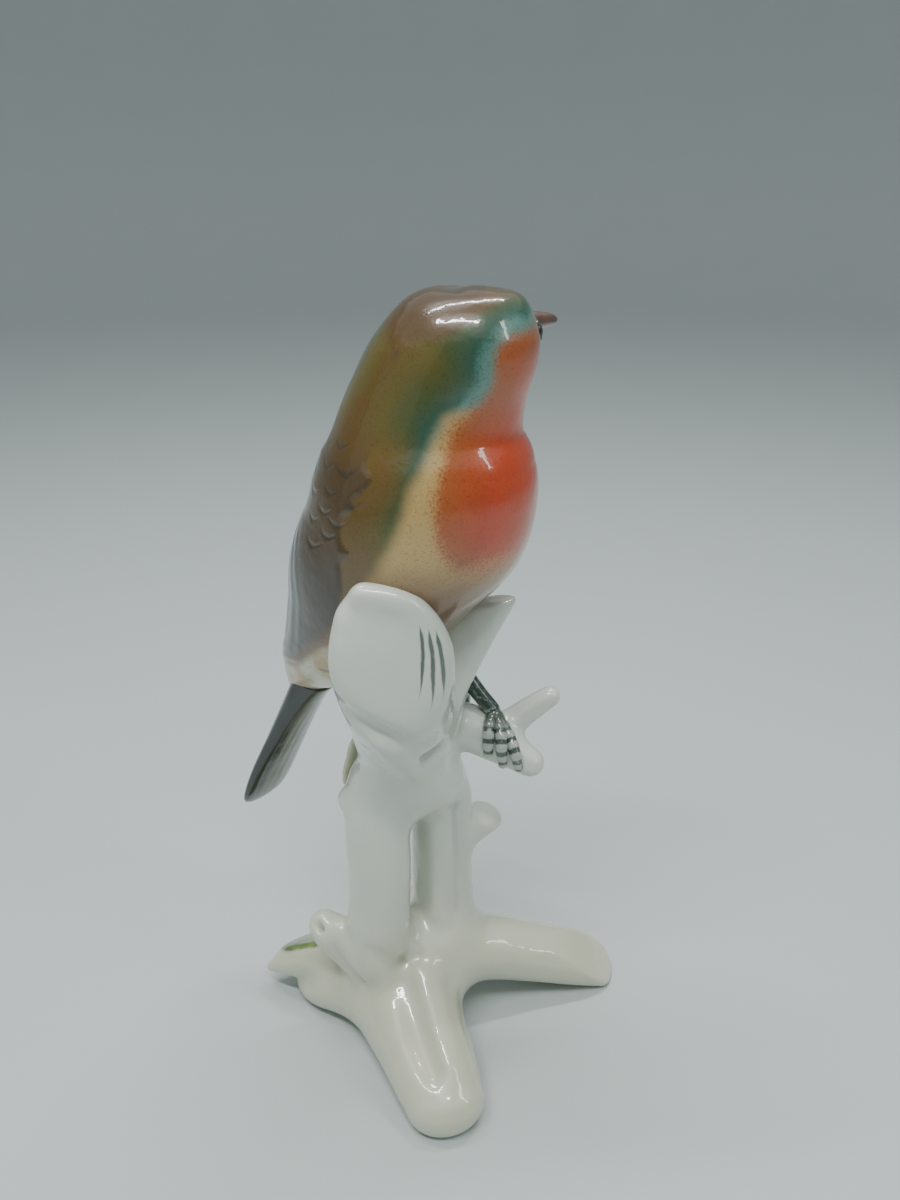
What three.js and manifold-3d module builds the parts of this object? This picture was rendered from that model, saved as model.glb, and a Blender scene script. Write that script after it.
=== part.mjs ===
// A glazed porcelain robin on a white tree stump, as the elements that are luted together
// before firing. Units are millimetres, +Z is up and the stump stands on z = 0.
import * as THREE from "three";
import { mergeVertices } from "three/addons/utils/BufferGeometryUtils.js";
import Module from "manifold-3d";

// Driving dimensions.
const LUTE_GAP = 0.3; // clearance left at every luted joint
const WALL = 3; // wall of the slip-cast bird
const BODY_TURN = 20; // degrees the breast is turned from +X towards -Y
const HEAD_TURN = -42; // degrees the beak is turned from +X towards -Y, so away from it
const BODY_PIVOT_X = -4; // upright axis of the bird
const BODY_SIDE = 0.92; // width of the body across the wings over its front-to-back depth
const RING_LEVEL = 0.6; // how far the rings of the bird are turned from its bent spine to level
const CROWN_HEIGHT = 2; // dome of the head above the first station of the spine
const NECK_Z = 126; // height of the joint between the head and the torso
const LIMB_SIDES = 14;
const BIRD_SIDES = 26;
const TOE_SIDES = 7;
const CAP_RINGS = 2; // rings of a domed end
const FAR = 200; // edge of the block that makes a straight cut

const WHITE = { color: 0xcdd4cb, roughness: 0.12 };
const WARM_WHITE = { color: 0xb9b7ac, roughness: 0.14 };
const PLUMAGE = { color: 0x8a6f45, roughness: 0.16 };
const HORN = { color: 0x6e4a3c, roughness: 0.2 };
const TAIL_PAINT = { color: 0x2f3439, roughness: 0.18 };
const LEG_PAINT = { color: 0x3c5549, roughness: 0.2 };
const LEAF_PAINT = { color: 0x9fae7c, roughness: 0.16 };

const UP = new THREE.Vector3(0, 0, 1);
const ACROSS_X = new THREE.Vector3(1, 0, 0);
const ACROSS_Y = new THREE.Vector3(0, 1, 0);

const wasm = await Module();
wasm.setup();

// A closed three.js geometry as a manifold solid, with its shared vertices merged.
function toSolid(geometry) {
  const bare = geometry.clone();
  bare.deleteAttribute("normal");
  bare.deleteAttribute("uv");
  const merged = mergeVertices(bare, 1e-4);
  const index = merged.index.array;
  const triVerts = [];
  for (let i = 0; i < index.length; i += 3) {
    const [a, b, c] = index.slice(i, i + 3);
    if (a !== b && b !== c && c !== a) triVerts.push(a, b, c);
  }
  return new wasm.Manifold(new wasm.Mesh({
    numProp: 3,
    vertProperties: Float32Array.from(merged.attributes.position.array),
    triVerts: Uint32Array.from(triVerts),
  }));
}

// The largest single body of a solid, as a three.js geometry.
function toGeometry(solid) {
  const bodies = solid.decompose();
  bodies.sort((a, b) => b.volume() - a.volume());
  const mesh = bodies[0].getMesh();
  const geometry = new THREE.BufferGeometry();
  geometry.setAttribute("position", new THREE.BufferAttribute(mesh.vertProperties, 3));
  geometry.setIndex(new THREE.BufferAttribute(mesh.triVerts, 1));
  geometry.computeVertexNormals();
  return geometry;
}

function boxOf(solid) {
  const { min, max } = solid.boundingBox();
  return new THREE.Box3(new THREE.Vector3(...min), new THREE.Vector3(...max));
}

// Everything on the side of a plane that its normal points to.
function beyond(point, normal) {
  const block = new THREE.BoxGeometry(FAR, FAR, FAR);
  block.translate(0, 0, FAR / 2);
  const away = new THREE.Vector3(...normal).normalize();
  block.applyQuaternion(new THREE.Quaternion().setFromUnitVectors(UP, away));
  block.translate(...point);
  return toSolid(block);
}

// A limb through stations [x, y, z, radius across, radius the other way]: a lathe profile of
// unit radius whose rings are laid along the curve and opened to the stations' radii. Its ends
// are domes, a radius high unless a cap height is given. level, from 0 to 1, turns the rings from
// square to the curve to level, so that a stout limb can bend sharply without its rings crossing.
function limb(stations, options = {}) {
  const { sides = LIMB_SIDES, steps = 2, startCap, endCap } = options;
  const { across = ACROSS_Y, allowance = 0, level = 0 } = options;
  const path = new THREE.CatmullRomCurve3(
    stations.map(([x, y, z]) => new THREE.Vector3(x, y, z)), false, "centripetal");
  const radii = new THREE.CatmullRomCurve3(
    stations.map(([, , , r, other = r]) => new THREE.Vector3(r, other, 0)), false, "catmullrom");
  const rings = [];
  const ringAt = (t, along, open) => {
    const tangent = path.getTangent(t);
    tangent.lerp(UP.clone().multiplyScalar(Math.sign(tangent.z)), level).normalize();
    const centre = path.getPoint(t).addScaledVector(tangent, along);
    const side = across.clone().addScaledVector(tangent, -across.dot(tangent)).normalize();
    const other = new THREE.Vector3().crossVectors(side, tangent);
    const radius = radii.getPoint(t).addScalar(allowance);
    rings.push({ centre, side, other, sideR: radius.x * open, otherR: radius.y * open });
  };
  const cap = (t, direction, height) => {
    const radius = radii.getPoint(t);
    const depth = (height ?? Math.min(radius.x, radius.y)) + allowance;
    const turns = Array.from({ length: CAP_RINGS }, (_, k) => ((k + 1) / CAP_RINGS) * (Math.PI / 2));
    if (direction < 0) turns.reverse();
    turns.forEach((turn) => ringAt(t, direction * depth * Math.sin(turn), Math.cos(turn)));
  };
  const spans = (stations.length - 1) * steps;
  cap(0, -1, startCap);
  for (let k = 0; k <= spans; k += 1) ringAt(k / spans, 0, 1);
  cap(1, 1, endCap);
  const last = rings.length - 1;
  const profile = rings.map((ring, k) => new THREE.Vector2(k === 0 || k === last ? 0 : 1, k));
  const geometry = new THREE.LatheGeometry(profile, sides);
  const position = geometry.attributes.position;
  for (let i = 0; i < position.count; i += 1) {
    const ring = rings[Math.round(position.getY(i))];
    const vertex = ring.centre.clone();
    vertex.addScaledVector(ring.side, position.getX(i) * ring.sideR);
    vertex.addScaledVector(ring.other, position.getZ(i) * ring.otherR);
    position.setXYZ(i, ...vertex.toArray());
  }
  return toSolid(geometry);
}

// Directions of the bird: its own left side, and the way its breast and its beak point.
function heading(degrees) {
  return new THREE.Vector3(1, 0, 0).applyAxisAngle(UP, -THREE.MathUtils.degToRad(degrees));
}
const BIRD_LEFT = heading(BODY_TURN).applyAxisAngle(UP, Math.PI / 2);
const BEAK_WAY = heading(HEAD_TURN);

// A station of the bird's spine, x along +X and the rest of its place in the turned body's plane.
function spine([x, z, radius]) {
  const y = -(x - BODY_PIVOT_X) * Math.tan(THREE.MathUtils.degToRad(BODY_TURN));
  return [x, y, z, radius * BODY_SIDE, radius];
}
const SPINE = [
  [4.6, 142.3, 7.4],
  [2.8, 139.3, 10.8],
  [0.7, 135, 12.6],
  [-1.6, 129.4, 13.5],
  [-3.1, 124, 14.8],
  [-3.4, 119, 17],
  [-3.9, 113.6, 18.2],
  [-5.6, 106.5, 18.4],
  [-10, 98.5, 17],
  [-14.4, 90.5, 13.8],
  [-20, 83, 9.6],
  [-25.6, 75, 5.2],
].map(spine);

function birdSkin(allowance) {
  const shape = { sides: BIRD_SIDES, across: BIRD_LEFT, startCap: CROWN_HEIGHT, level: RING_LEVEL };
  return limb(SPINE, { ...shape, allowance });
}
const aboveNeck = beyond([0, 0, NECK_Z - LUTE_GAP / 2], [0, 0, 1]);
const belowNeck = beyond([0, 0, NECK_Z + LUTE_GAP / 2], [0, 0, -1]);
const CAVITY = SPINE.slice(0, -2).map(([x, y, z, side, other]) => [x, y, z, side - WALL, other - WALL]);
const cavity = limb(CAVITY, { across: BIRD_LEFT, startCap: 0.5, level: RING_LEVEL });
const VENT = [[-19, 4, 82, 0.9], [-17.6, 1.4, 74, 0.9]];

const TORSO = {
  name: "torso",
  finish: PLUMAGE,
  make: (allowance) => birdSkin(allowance).subtract(aboveNeck),
  hollow: (solid) => solid.subtract(cavity).subtract(limb(VENT, { sides: TOE_SIDES, steps: 1 })),
};
const HEAD = {
  name: "head",
  finish: PLUMAGE,
  make: (allowance) => birdSkin(allowance).subtract(belowNeck),
  hollow: (solid) => solid.subtract(cavity),
};

// The beak is a tapering horn that grows out of the face the way the head is turned.
const BEAK_ROOT = new THREE.Vector3(9.2, 8.2, 137.6);
const BEAK_LENGTH = 9.6;
const BEAK = {
  name: "beak",
  finish: HORN,
  make: (allowance) => {
    const at = (part, drop, side, other) => {
      const place = BEAK_ROOT.clone().addScaledVector(BEAK_WAY, part * BEAK_LENGTH);
      return [place.x, place.y, place.z - drop, side, other];
    };
    const stations = [at(-0.3, 0.3, 2, 2), at(0.2, 0, 1.8, 1.9), at(0.65, 0.1, 1.2, 1.2), at(1, 0.2, 0.4, 0.4)];
    return limb(stations, { sides: 10, steps: 2, across: heading(HEAD_TURN + 90), allowance });
  },
};

const TAIL = {
  name: "tail",
  finish: TAIL_PAINT,
  make: (allowance) => limb([
    [-24.6, 7.6, 76.6, 4.2, 3.6],
    [-28, 9.2, 69.6, 4.8, 2.8],
    [-31.8, 11, 61.6, 5.6, 2.2],
    [-36.2, 12.9, 52.6, 6.4, 1.8],
    [-39.6, 14.2, 45.8, 5.6, 1.3],
  ], { across: BIRD_LEFT, allowance }),
};

// The stump: a trunk that forks into two stems below, and into cut branches above.
function whiteLimb(name, stations, options = {}) {
  const { finish = WHITE, cuts = [], ...shape } = options;
  return {
    name,
    finish,
    make: (allowance) => {
      const solid = limb(stations, { ...shape, allowance });
      return cuts.reduce((left, cut) => left.subtract(cut), solid);
    },
  };
}

const TRUNK = whiteLimb("trunk", [
  [-7.4, -0.6, 54, 7.2, 9.6],
  [-8, -3, 61, 7, 8.2],
  [-8.6, -4.4, 68, 7.4, 8],
  [-8, -5, 75, 7.8, 8.2],
], { across: ACROSS_Y });

const CUT_STUB = whiteLimb("cut_stub", [
  [-8.4, -7, 73, 7.4, 8.2],
  [-8.8, -11.6, 81, 8.4, 9.2],
  [-9.6, -14.6, 89.5, 8.4, 9.6],
  [-10.4, -16, 97.5, 6.8, 8.2],
], {
  cuts: [beyond([-9, -18.9, 88], [0.1, -0.96, 0.2])],
});

const SPIKE_STUB = whiteLimb("spike_stub", [
  [-2.6, -3.6, 72, 5.8, 6],
  [0.6, -1.6, 78.6, 5, 5.6],
  [4.6, 0.8, 84.6, 3.8, 4.4],
  [9.8, 3, 90.4, 1.6, 2],
]);

const PERCH = whiteLimb("perch", [
  [-4, 1.5, 67.6, 4.8],
  [2, 2.4, 67, 4.4],
  [7.6, 1.2, 65, 4.2],
  [12, -0.6, 62.8, 3.2],
  [14.6, -1.8, 61.6, 2.7],
]);

const PERCH_TWIG = whiteLimb("perch_twig", [
  [8.6, 2.6, 65, 2.4],
  [12, 3.4, 67.4, 2.2],
  [15.6, 4, 70, 1.9],
  [18.6, 4.4, 72, 1.6],
]);

// The root crown and the roots, all cut flat where they stand.
const ground = beyond([0, 0, 0], [0, 0, -1]);
const warm = { finish: WARM_WHITE, cuts: [ground] };

const ROOT_CROWN = whiteLimb("root_crown", [
  [-5.6, 0, 9, 9.4, 8.8],
  [-5.6, 0, 12, 9.4, 9.4],
  [-6, -0.4, 15.5, 8, 9.4],
], warm);

const ROOT_FRONT = whiteLimb("root_front", [
  [-8, -4, 10.4, 10.4, 8],
  [-5, -12, 8.4, 9.6, 7],
  [-1.8, -20.6, 6.2, 8, 6],
  [-0.7, -27, 3.7, 7.1, 5.2],
], { ...warm, across: ACROSS_X });

const ROOT_RIGHT = whiteLimb("root_right", [
  [0, 2.4, 13, 7.4, 7.4],
  [9, 4, 11.4, 6.6, 6.6],
  [17.6, 5.6, 8.4, 6.2, 6],
  [25.4, 6.8, 5.8, 6, 5.6],
  [32, 7.4, 3.6, 5.2, 5],
], {
  ...warm,
  cuts: [ground, beyond([27, 7.4, 10], [0.64, -0.2, 0.74])],
});

const ROOT_LEFT = whiteLimb("root_left", [
  [-11, -0.6, 10, 7.6, 7.6],
  [-19, 0.8, 7, 7, 5.8],
  [-26.4, 2.8, 3.8, 6, 4.2],
  [-31.6, 4.2, 2.2, 4.2, 3.2],
], { ...warm });

const ROOT_BACK = whiteLimb("root_back", [
  [-5.4, 5, 10.6, 8, 7.8],
  [-6.4, 13.5, 8.2, 7.4, 6.6],
  [-8, 21.4, 6, 6.4, 5.8],
  [-9, 27, 3.4, 5.4, 4.8],
], { ...warm, across: ACROSS_X });

const FRONT_STEM = whiteLimb("front_stem", [
  [-12.6, -2, 57, 5.4, 6],
  [-13.6, -3.4, 50, 5.6, 6.1],
  [-13.4, -4.4, 40, 5.6, 6],
  [-13.8, -4.8, 29, 5.6, 6],
  [-14.4, -4.6, 19, 6.2, 6.2],
]);

const REAR_STEM = whiteLimb("rear_stem", [
  [-3.4, 2.4, 59, 5, 5.2],
  [-1.2, 4.4, 50, 5, 5.4],
  [-0.8, 5.2, 40, 5, 5.2],
  [-0.8, 5.2, 29, 5, 5.2],
  [-0.4, 4, 19.5, 6, 6],
]);

const SIDE_STUB = whiteLimb("side_stub", [
  [0.4, 5.8, 40, 4],
  [4.4, 6.8, 41.2, 3.8],
  [8.4, 7.8, 43.4, 3.4],
], { cuts: [beyond([8, 7.6, 43.4], [0.5, -0.1, 0.86])] });

const STEM_KNOB = whiteLimb("stem_knob", [
  [-17, -2.8, 54, 2.6],
  [-18.6, -3, 54.4, 2.1],
], { sides: 12 });

const BUD_HOLE = limb([[-24, -4, 23.4, 0.7], [-27.6, -4.8, 28.4, 1.3]], { sides: TOE_SIDES, steps: 1 });
const BUD_KNOT = whiteLimb("bud_knot", [
  [-17, -3.6, 16.6, 4],
  [-20.6, -3.8, 20, 3.7],
  [-23.4, -3.8, 23, 3.2],
  [-25, -3.6, 24.8, 2.7],
], { finish: WARM_WHITE, cuts: [BUD_HOLE] });

// Leaves: one lies on the left root with its painted face up, one clings to the trunk's back.
const LEAF_FACE = beyond([-30, 5, 12.4], [-0.28, 0.46, 0.84]);
const LEAF_BASE = {
  name: "leaf_base",
  finish: LEAF_PAINT,
  make: (allowance) => limb([
    [-21, 4.6, 11.4, 7, 5.8],
    [-27, 4.6, 10.4, 6.2, 5.2],
    [-33, 4.6, 7.6, 4, 3.4],
    [-38.6, 4.8, 4.8, 1, 0.9],
  ], { allowance }).subtract(LEAF_FACE),
};
const LEAF_BACK = {
  name: "leaf_back",
  finish: LEAF_PAINT,
  make: (allowance) => limb([
    [-18.6, 1.4, 52, 1.2, 1.2],
    [-18.8, 3, 57, 3.4, 1.2],
    [-17.4, 3.6, 63, 3.6, 1.2],
    [-15.4, 3.4, 69, 1, 1],
  ], { allowance }),
};

// Legs and feet. Three toes grip the branch in front and one behind.
function leg(name, stations) {
  return {
    name,
    finish: LEG_PAINT,
    make: (allowance) => limb(stations, { sides: 10, steps: 2, allowance }),
  };
}
function foot(name, ankle, toes) {
  return {
    name,
    finish: LEG_PAINT,
    make: (allowance) => {
      const options = { sides: TOE_SIDES, steps: 1, allowance };
      const solids = toes.map((toe) => limb([ankle, ...toe], options));
      return solids.reduce((joined, toe) => joined.add(toe));
    },
  };
}
const LEG_RIGHT = leg("leg_right", [
  [-1, 4.6, 82.6, 2.4],
  [2.4, 4.4, 76.8, 1.8],
  [5.2, 3, 73.4, 1.5],
  [7.6, 1.6, 70.8, 1.5],
]);
const FOOT_RIGHT = foot("foot_right", [8, 1.2, 69.9, 1.5], [
  [[6.6, -1.6, 69.2, 1.1], [6, -3.4, 66.6, 1.05], [6, -3.4, 63.8, 0.8]],
  [[9, -2, 68.4, 1.1], [9.2, -4, 65.4, 1.05], [9.4, -3.8, 62.2, 0.8]],
  [[11, -1.6, 67, 1.1], [12.2, -3.8, 64.4, 1.05], [12.8, -4.2, 61.6, 0.8]],
  [[8, 3.8, 69.2, 1.1], [7.6, 5.6, 66.8, 0.8]],
]);
const LEG_LEFT = leg("leg_left", [
  [-5.6, 8, 85, 2.4],
  [-3.4, 8, 80, 1.8],
  [-1.6, 7, 76.4, 1.5],
  [-0.4, 5.6, 73.6, 1.5],
]);
const FOOT_LEFT = foot("foot_left", [0, 5, 72.6, 1.5], [
  [[-2, 7, 71.6, 1.1], [-2.6, 8, 68.6, 0.8]],
  [[0.4, 7.4, 71, 1.1], [0.4, 8.2, 68.2, 0.8]],
  [[2.6, 6.8, 70.4, 1.1], [3, 7.6, 67.6, 0.8]],
]);

const PIECES = [
  TORSO, HEAD, BEAK, TAIL, TRUNK, CUT_STUB, SPIKE_STUB, PERCH, PERCH_TWIG,
  ROOT_CROWN, ROOT_FRONT, ROOT_RIGHT, ROOT_LEFT, ROOT_BACK, FRONT_STEM, REAR_STEM,
  SIDE_STUB, STEM_KNOB, BUD_KNOT, LEAF_BASE, LEAF_BACK,
  LEG_RIGHT, FOOT_RIGHT, LEG_LEFT, FOOT_LEFT,
];

// Pieces are luted on in this order, and each is trimmed to fit the ones before it.
const figurine = new THREE.Group();
const placed = [];
for (const { name, finish, make, hollow = (solid) => solid } of PIECES) {
  const grown = make(LUTE_GAP);
  const box = boxOf(grown);
  const neighbours = placed.filter((piece) => piece.box.intersectsBox(box));
  const fitted = neighbours.reduce((solid, piece) => solid.subtract(piece.grown), hollow(make(0)));
  const material = new THREE.MeshStandardMaterial({ metalness: 0, ...finish });
  const mesh = new THREE.Mesh(toGeometry(fitted), material);
  mesh.name = name;
  figurine.add(mesh);
  placed.push({ grown, box });
}

// The origin is the middle of the figurine's footprint, on the surface that it stands on.
const bounds = new THREE.Box3().setFromObject(figurine);
const middle = bounds.getCenter(new THREE.Vector3());
figurine.position.set(-middle.x, -middle.y, -bounds.min.z);

export default figurine;
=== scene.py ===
# A glazed porcelain robin on a white cut stump: the finished surfaces and their painting.
# Lengths are millimetres from the stump's foot until a mesh is made, and metres after that.
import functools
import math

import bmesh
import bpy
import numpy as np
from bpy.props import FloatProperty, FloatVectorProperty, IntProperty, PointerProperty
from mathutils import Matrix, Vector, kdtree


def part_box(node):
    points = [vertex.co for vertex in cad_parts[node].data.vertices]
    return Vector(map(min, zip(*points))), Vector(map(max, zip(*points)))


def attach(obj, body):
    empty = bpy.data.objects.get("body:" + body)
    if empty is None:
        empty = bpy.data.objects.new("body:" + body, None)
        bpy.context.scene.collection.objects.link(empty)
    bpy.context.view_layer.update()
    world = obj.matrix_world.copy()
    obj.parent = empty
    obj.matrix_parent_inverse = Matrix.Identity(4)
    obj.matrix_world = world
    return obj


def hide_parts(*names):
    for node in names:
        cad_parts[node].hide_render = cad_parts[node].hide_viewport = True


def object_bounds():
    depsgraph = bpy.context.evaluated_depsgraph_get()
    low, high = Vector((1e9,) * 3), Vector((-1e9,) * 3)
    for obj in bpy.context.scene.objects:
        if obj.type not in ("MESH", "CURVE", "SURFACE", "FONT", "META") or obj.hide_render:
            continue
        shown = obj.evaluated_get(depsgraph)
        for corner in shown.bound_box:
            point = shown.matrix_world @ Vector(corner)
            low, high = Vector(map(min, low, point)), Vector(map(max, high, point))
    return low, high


bl_info = {
    "name": "Porcelain Robin on a Stump",
    "version": (1, 0, 0),
    "blender": (4, 5, 0),
    "location": "View3D > Sidebar > Porcelain",
    "description": "Shapes and paints a glazed porcelain robin that perches on a white cut stump",
    "category": "Add Mesh",
}

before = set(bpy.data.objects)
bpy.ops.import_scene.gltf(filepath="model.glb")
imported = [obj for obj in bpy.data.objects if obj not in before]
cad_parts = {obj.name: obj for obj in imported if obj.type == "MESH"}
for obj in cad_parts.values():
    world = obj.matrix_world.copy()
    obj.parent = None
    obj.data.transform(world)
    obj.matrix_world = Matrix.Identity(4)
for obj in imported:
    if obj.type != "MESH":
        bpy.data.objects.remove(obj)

CAD_LOW, CAD_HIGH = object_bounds()
MM = 0.001
REACH_RIGHT = 36.567  # the right root's reach from the stump's foot
REACH_BACK = 31.566  # the back root's reach
FOOT = np.array([CAD_HIGH[0] - REACH_RIGHT * MM, CAD_HIGH[1] - REACH_BACK * MM, CAD_LOW[2]])
BOX_SLACK = 3.2  # millimetres that a finished piece may stand outside its CAD solid's box

X_AXIS = np.array([1.0, 0.0, 0.0])
Y_AXIS = np.array([0.0, 1.0, 0.0])
DOWN = np.array([0.0, 0.0, -1.0])


def rgb(red, green, blue):
    """Linear colour of display values from 0 to 255."""
    return tuple(((value / 255 + 0.055) / 1.055) ** 2.4 for value in (red, green, blue))


# ---------------------------------------------------------------- sizes and colours

def colour(name, description, value):
    return FloatVectorProperty(
        name=name, description=description, default=value, subtype="COLOR", size=3, min=0, max=1)


class PORCELAIN_PG_sizes(bpy.types.PropertyGroup):
    clay_step: FloatProperty(
        name="Clay step", description="Distance between the points that the stump is carved on, in mm",
        default=0.42, min=0.3, max=1.5)
    skin_sides: IntProperty(
        name="Skin sides", description="Points around the bird", default=280, min=60, max=300)
    skin_steps: IntProperty(
        name="Skin steps", description="Rings of the bird between two stations of its spine",
        default=36, min=6, max=40)
    feather_relief: FloatProperty(
        name="Feather relief", description="Height of the wing's edge over the body, in mm",
        default=0.3, min=0, max=1.5)
    speckle_size: FloatProperty(
        name="Speckle size", description="Width of the airbrush's droplets, in mm",
        default=0.35, min=0.1, max=2)


class PORCELAIN_PG_colours(bpy.types.PropertyGroup):
    white: colour("White", "Clear glaze over white porcelain", rgb(208, 215, 203))
    warm: colour("Warm white", "Glaze of the roots, faintly warm", rgb(200, 201, 176))
    # Brown of the random specks on the white glaze, and of the painted shade laid into its hollows
    speck_and_shade_brown: colour("Stain", "Brown that has gathered in the hollows", rgb(118, 98, 62))
    ink: colour("Ink", "Dark green of the brushed lines", rgb(34, 58, 48))
    breast: colour("Breast", "Red orange of the face and breast", rgb(188, 62, 14))
    breast_edge: colour("Breast edge", "Thin orange at the breast's edge", rgb(162, 82, 30))
    flank: colour("Flank", "Buff of the flank", rgb(184, 154, 96))
    belly: colour("Belly", "Tan of the lower belly", rgb(120, 78, 34))
    teal: colour("Teal", "Blue green from the eye to the shoulder", rgb(40, 82, 66))
    pale_blue: colour("Pale blue", "Pale blue at the side of the neck", rgb(84, 130, 120))
    sage: colour("Sage", "Grey green of the side of the head", rgb(66, 78, 34))
    olive: colour("Olive", "Yellow olive of the nape and the coverts", rgb(92, 80, 16))
    gold: colour("Gold", "Golden brown of the nape", rgb(92, 65, 10))
    umber: colour("Umber", "Dark brown of the wing and the crown's edge", rgb(42, 27, 10))
    bronze: colour("Bronze", "Dark olive at the ends of the coverts", rgb(94, 70, 2))
    crown: colour("Crown", "Brown of the crown and mantle", rgb(80, 55, 8))
    wing: colour("Wing", "Grey brown of the folded wing", rgb(72, 52, 14))
    quill: colour("Quill", "Blue grey of the long wing feathers", rgb(30, 37, 39))
    tail: colour("Tail", "Blue black edge of the tail", rgb(16, 24, 26))
    beak: colour("Beak", "Brown of the beak", rgb(104, 72, 58))
    leaf: colour("Leaf", "Green of the leaves", rgb(122, 144, 76))
    floor: colour("Floor", "Pale table and backdrop", rgb(188, 197, 196))


def sizes():
    return bpy.context.scene.porcelain_sizes


def colours():
    return bpy.context.scene.porcelain_colours


# ---------------------------------------------------------------- materials

class Value:
    """A shader socket whose arithmetic adds Math nodes."""

    def __init__(self, tree, socket):
        self.tree = tree
        self.socket = socket

    def math(self, operation, *others, swapped=False):
        node = self.tree.nodes.new("ShaderNodeMath")
        node.operation = operation
        terms = [*others, self] if swapped else [self, *others]
        for slot, term in zip(node.inputs, terms):
            if isinstance(term, Value):
                self.tree.links.new(term.socket, slot)
            else:
                slot.default_value = term
        return Value(self.tree, node.outputs[0])

    def __add__(self, other):
        return self.math("ADD", other)

    def __sub__(self, other):
        return self.math("SUBTRACT", other)

    def __rsub__(self, other):
        return self.math("SUBTRACT", other, swapped=True)

    def __mul__(self, other):
        return self.math("MULTIPLY", other)

    def __truediv__(self, other):
        return self.math("DIVIDE", other)

    __radd__ = __add__
    __rmul__ = __mul__

    def size(self):
        return self.math("ABSOLUTE")

    def rise(self, start, end):
        """0 below start and 1 above end, with a smooth step between."""
        node = self.tree.nodes.new("ShaderNodeMapRange")
        node.interpolation_type = "SMOOTHSTEP"
        node.inputs["From Min"].default_value = min(start, end)
        node.inputs["From Max"].default_value = max(start, end)
        node.inputs["To Min"].default_value = 0.0 if start < end else 1.0
        node.inputs["To Max"].default_value = 1.0 if start < end else 0.0
        self.tree.links.new(self.socket, node.inputs["Value"])
        return Value(self.tree, node.outputs["Result"])


class Glaze:
    """A glazed material: paint under a clear, glossy coat."""

    def __init__(self, name):
        self.material = bpy.data.materials.new(name)
        self.material.use_nodes = True
        self.tree = self.material.node_tree
        self.shader = self.tree.nodes["Principled BSDF"]

    def node(self, kind, settings=None, inputs=None):
        node = self.tree.nodes.new(kind)
        for name, setting in (settings or {}).items():
            setattr(node, name, setting)
        for name, value in (inputs or {}).items():
            self.feed(node.inputs[name], value)
        return node

    def feed(self, socket, value):
        if isinstance(value, Value):
            self.tree.links.new(value.socket, socket)
        elif isinstance(value, tuple) and len(value) == 3 and socket.type == "RGBA":
            socket.default_value = (*value, 1.0)
        else:
            socket.default_value = value

    def value(self, node, output=0):
        return Value(self.tree, node.outputs[output])

    def place(self):
        """Object coordinates, which are metres in the figurine's frame."""
        return self.value(self.node("ShaderNodeTexCoord"), "Object")

    def across(self, axis):
        """One coordinate in millimetres from the stump's foot."""
        parts = self.value(self.node("ShaderNodeSeparateXYZ", inputs={0: self.place()}), axis)
        index = "XYZ".index(axis)
        return (parts - float(FOOT[index])) / MM

    def noise(self, width, detail=2.0, distortion=0.0, stretch=(1.0, 1.0, 1.0)):
        """Noise about 0.5 whose blotches are about width millimetres wide."""
        mapping = self.node("ShaderNodeMapping", inputs={"Vector": self.place(), "Scale": stretch})
        inputs = {
            "Vector": self.value(mapping), "Scale": 1 / (width * MM),
            "Detail": detail, "Distortion": distortion,
        }
        return self.value(self.node("ShaderNodeTexNoise", inputs=inputs), 0)

    def attribute(self, name):
        return self.value(self.node("ShaderNodeAttribute", {"attribute_name": name}), "Fac")

    def mix(self, factor, low, high, kind="MIX"):
        node = self.node("ShaderNodeMix", {"data_type": "RGBA", "blend_type": kind})
        self.feed(node.inputs[0], factor)
        self.feed(node.inputs[6], low)
        self.feed(node.inputs[7], high)
        return self.value(node, 2)

    def gloss(self, base, roughness=0.3, bump=None, depth=0.02, coat=1.0):
        """Finish the material from its paint, an optional height map and its depth in mm."""
        self.feed(self.shader.inputs["Base Color"], base)
        self.feed(self.shader.inputs["Roughness"], roughness)
        self.feed(self.shader.inputs["Coat Weight"], coat)
        self.shader.inputs["Coat Roughness"].default_value = 0.035
        self.shader.inputs["Coat IOR"].default_value = 1.55
        self.shader.inputs["IOR"].default_value = 1.5
        if bump is not None:
            inputs = {"Height": bump, "Strength": 1.0, "Distance": depth * MM}
            node = self.node("ShaderNodeBump", inputs=inputs)
            self.feed(self.shader.inputs["Normal"], self.value(node))
            self.feed(self.shader.inputs["Coat Normal"], self.value(node))
        return self.material


def speckled(paint, mask, strength=0.5):
    """A mask broken into airbrush droplets where it is neither full nor empty."""
    size = sizes().speckle_size
    drops = paint.noise(size, detail=3.0) - 0.5
    cloud = paint.noise(size * 9, detail=2.0) - 0.5
    return (mask + (drops * 1.6 + cloud * 0.9) * strength * mask * (1.0 - mask) * 4.0).rise(0.0, 1.0)


def white_glaze():
    paint = Glaze("white_glaze")
    tone = colours()
    height = paint.across("Z")
    warmth = height.rise(34, 12) * 0.75 + height.rise(60, 42) * 0.2
    patches = paint.noise(14, detail=3.0)
    base = paint.mix(warmth + (patches - 0.5) * 0.5, tone.white[:], tone.warm[:])
    # Painted shade with a brown tint: the lower stump darkens towards brown in its concave hollows, where
    # shade falls
    hollow = paint.attribute("hollow")
    hollow_shade_tint = hollow.rise(0.1, 1.0) * paint.noise(5, detail=4.0).rise(0.25, 0.6)
    base = paint.mix(hollow_shade_tint * height.rise(62, 46) * 0.62, base, tone.speck_and_shade_brown[:])
    specks = paint.noise(1.1, detail=1.0).rise(0.79, 0.86)
    base = paint.mix(specks * 0.35, base, tone.speck_and_shade_brown[:])
    base = paint.mix(brushed_lines(paint), base, tone.ink[:])
    ripple = paint.noise(7, detail=2.0) + paint.noise(1.6) * 0.12
    return paint.gloss(base, 0.32, ripple, 0.35)


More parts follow.
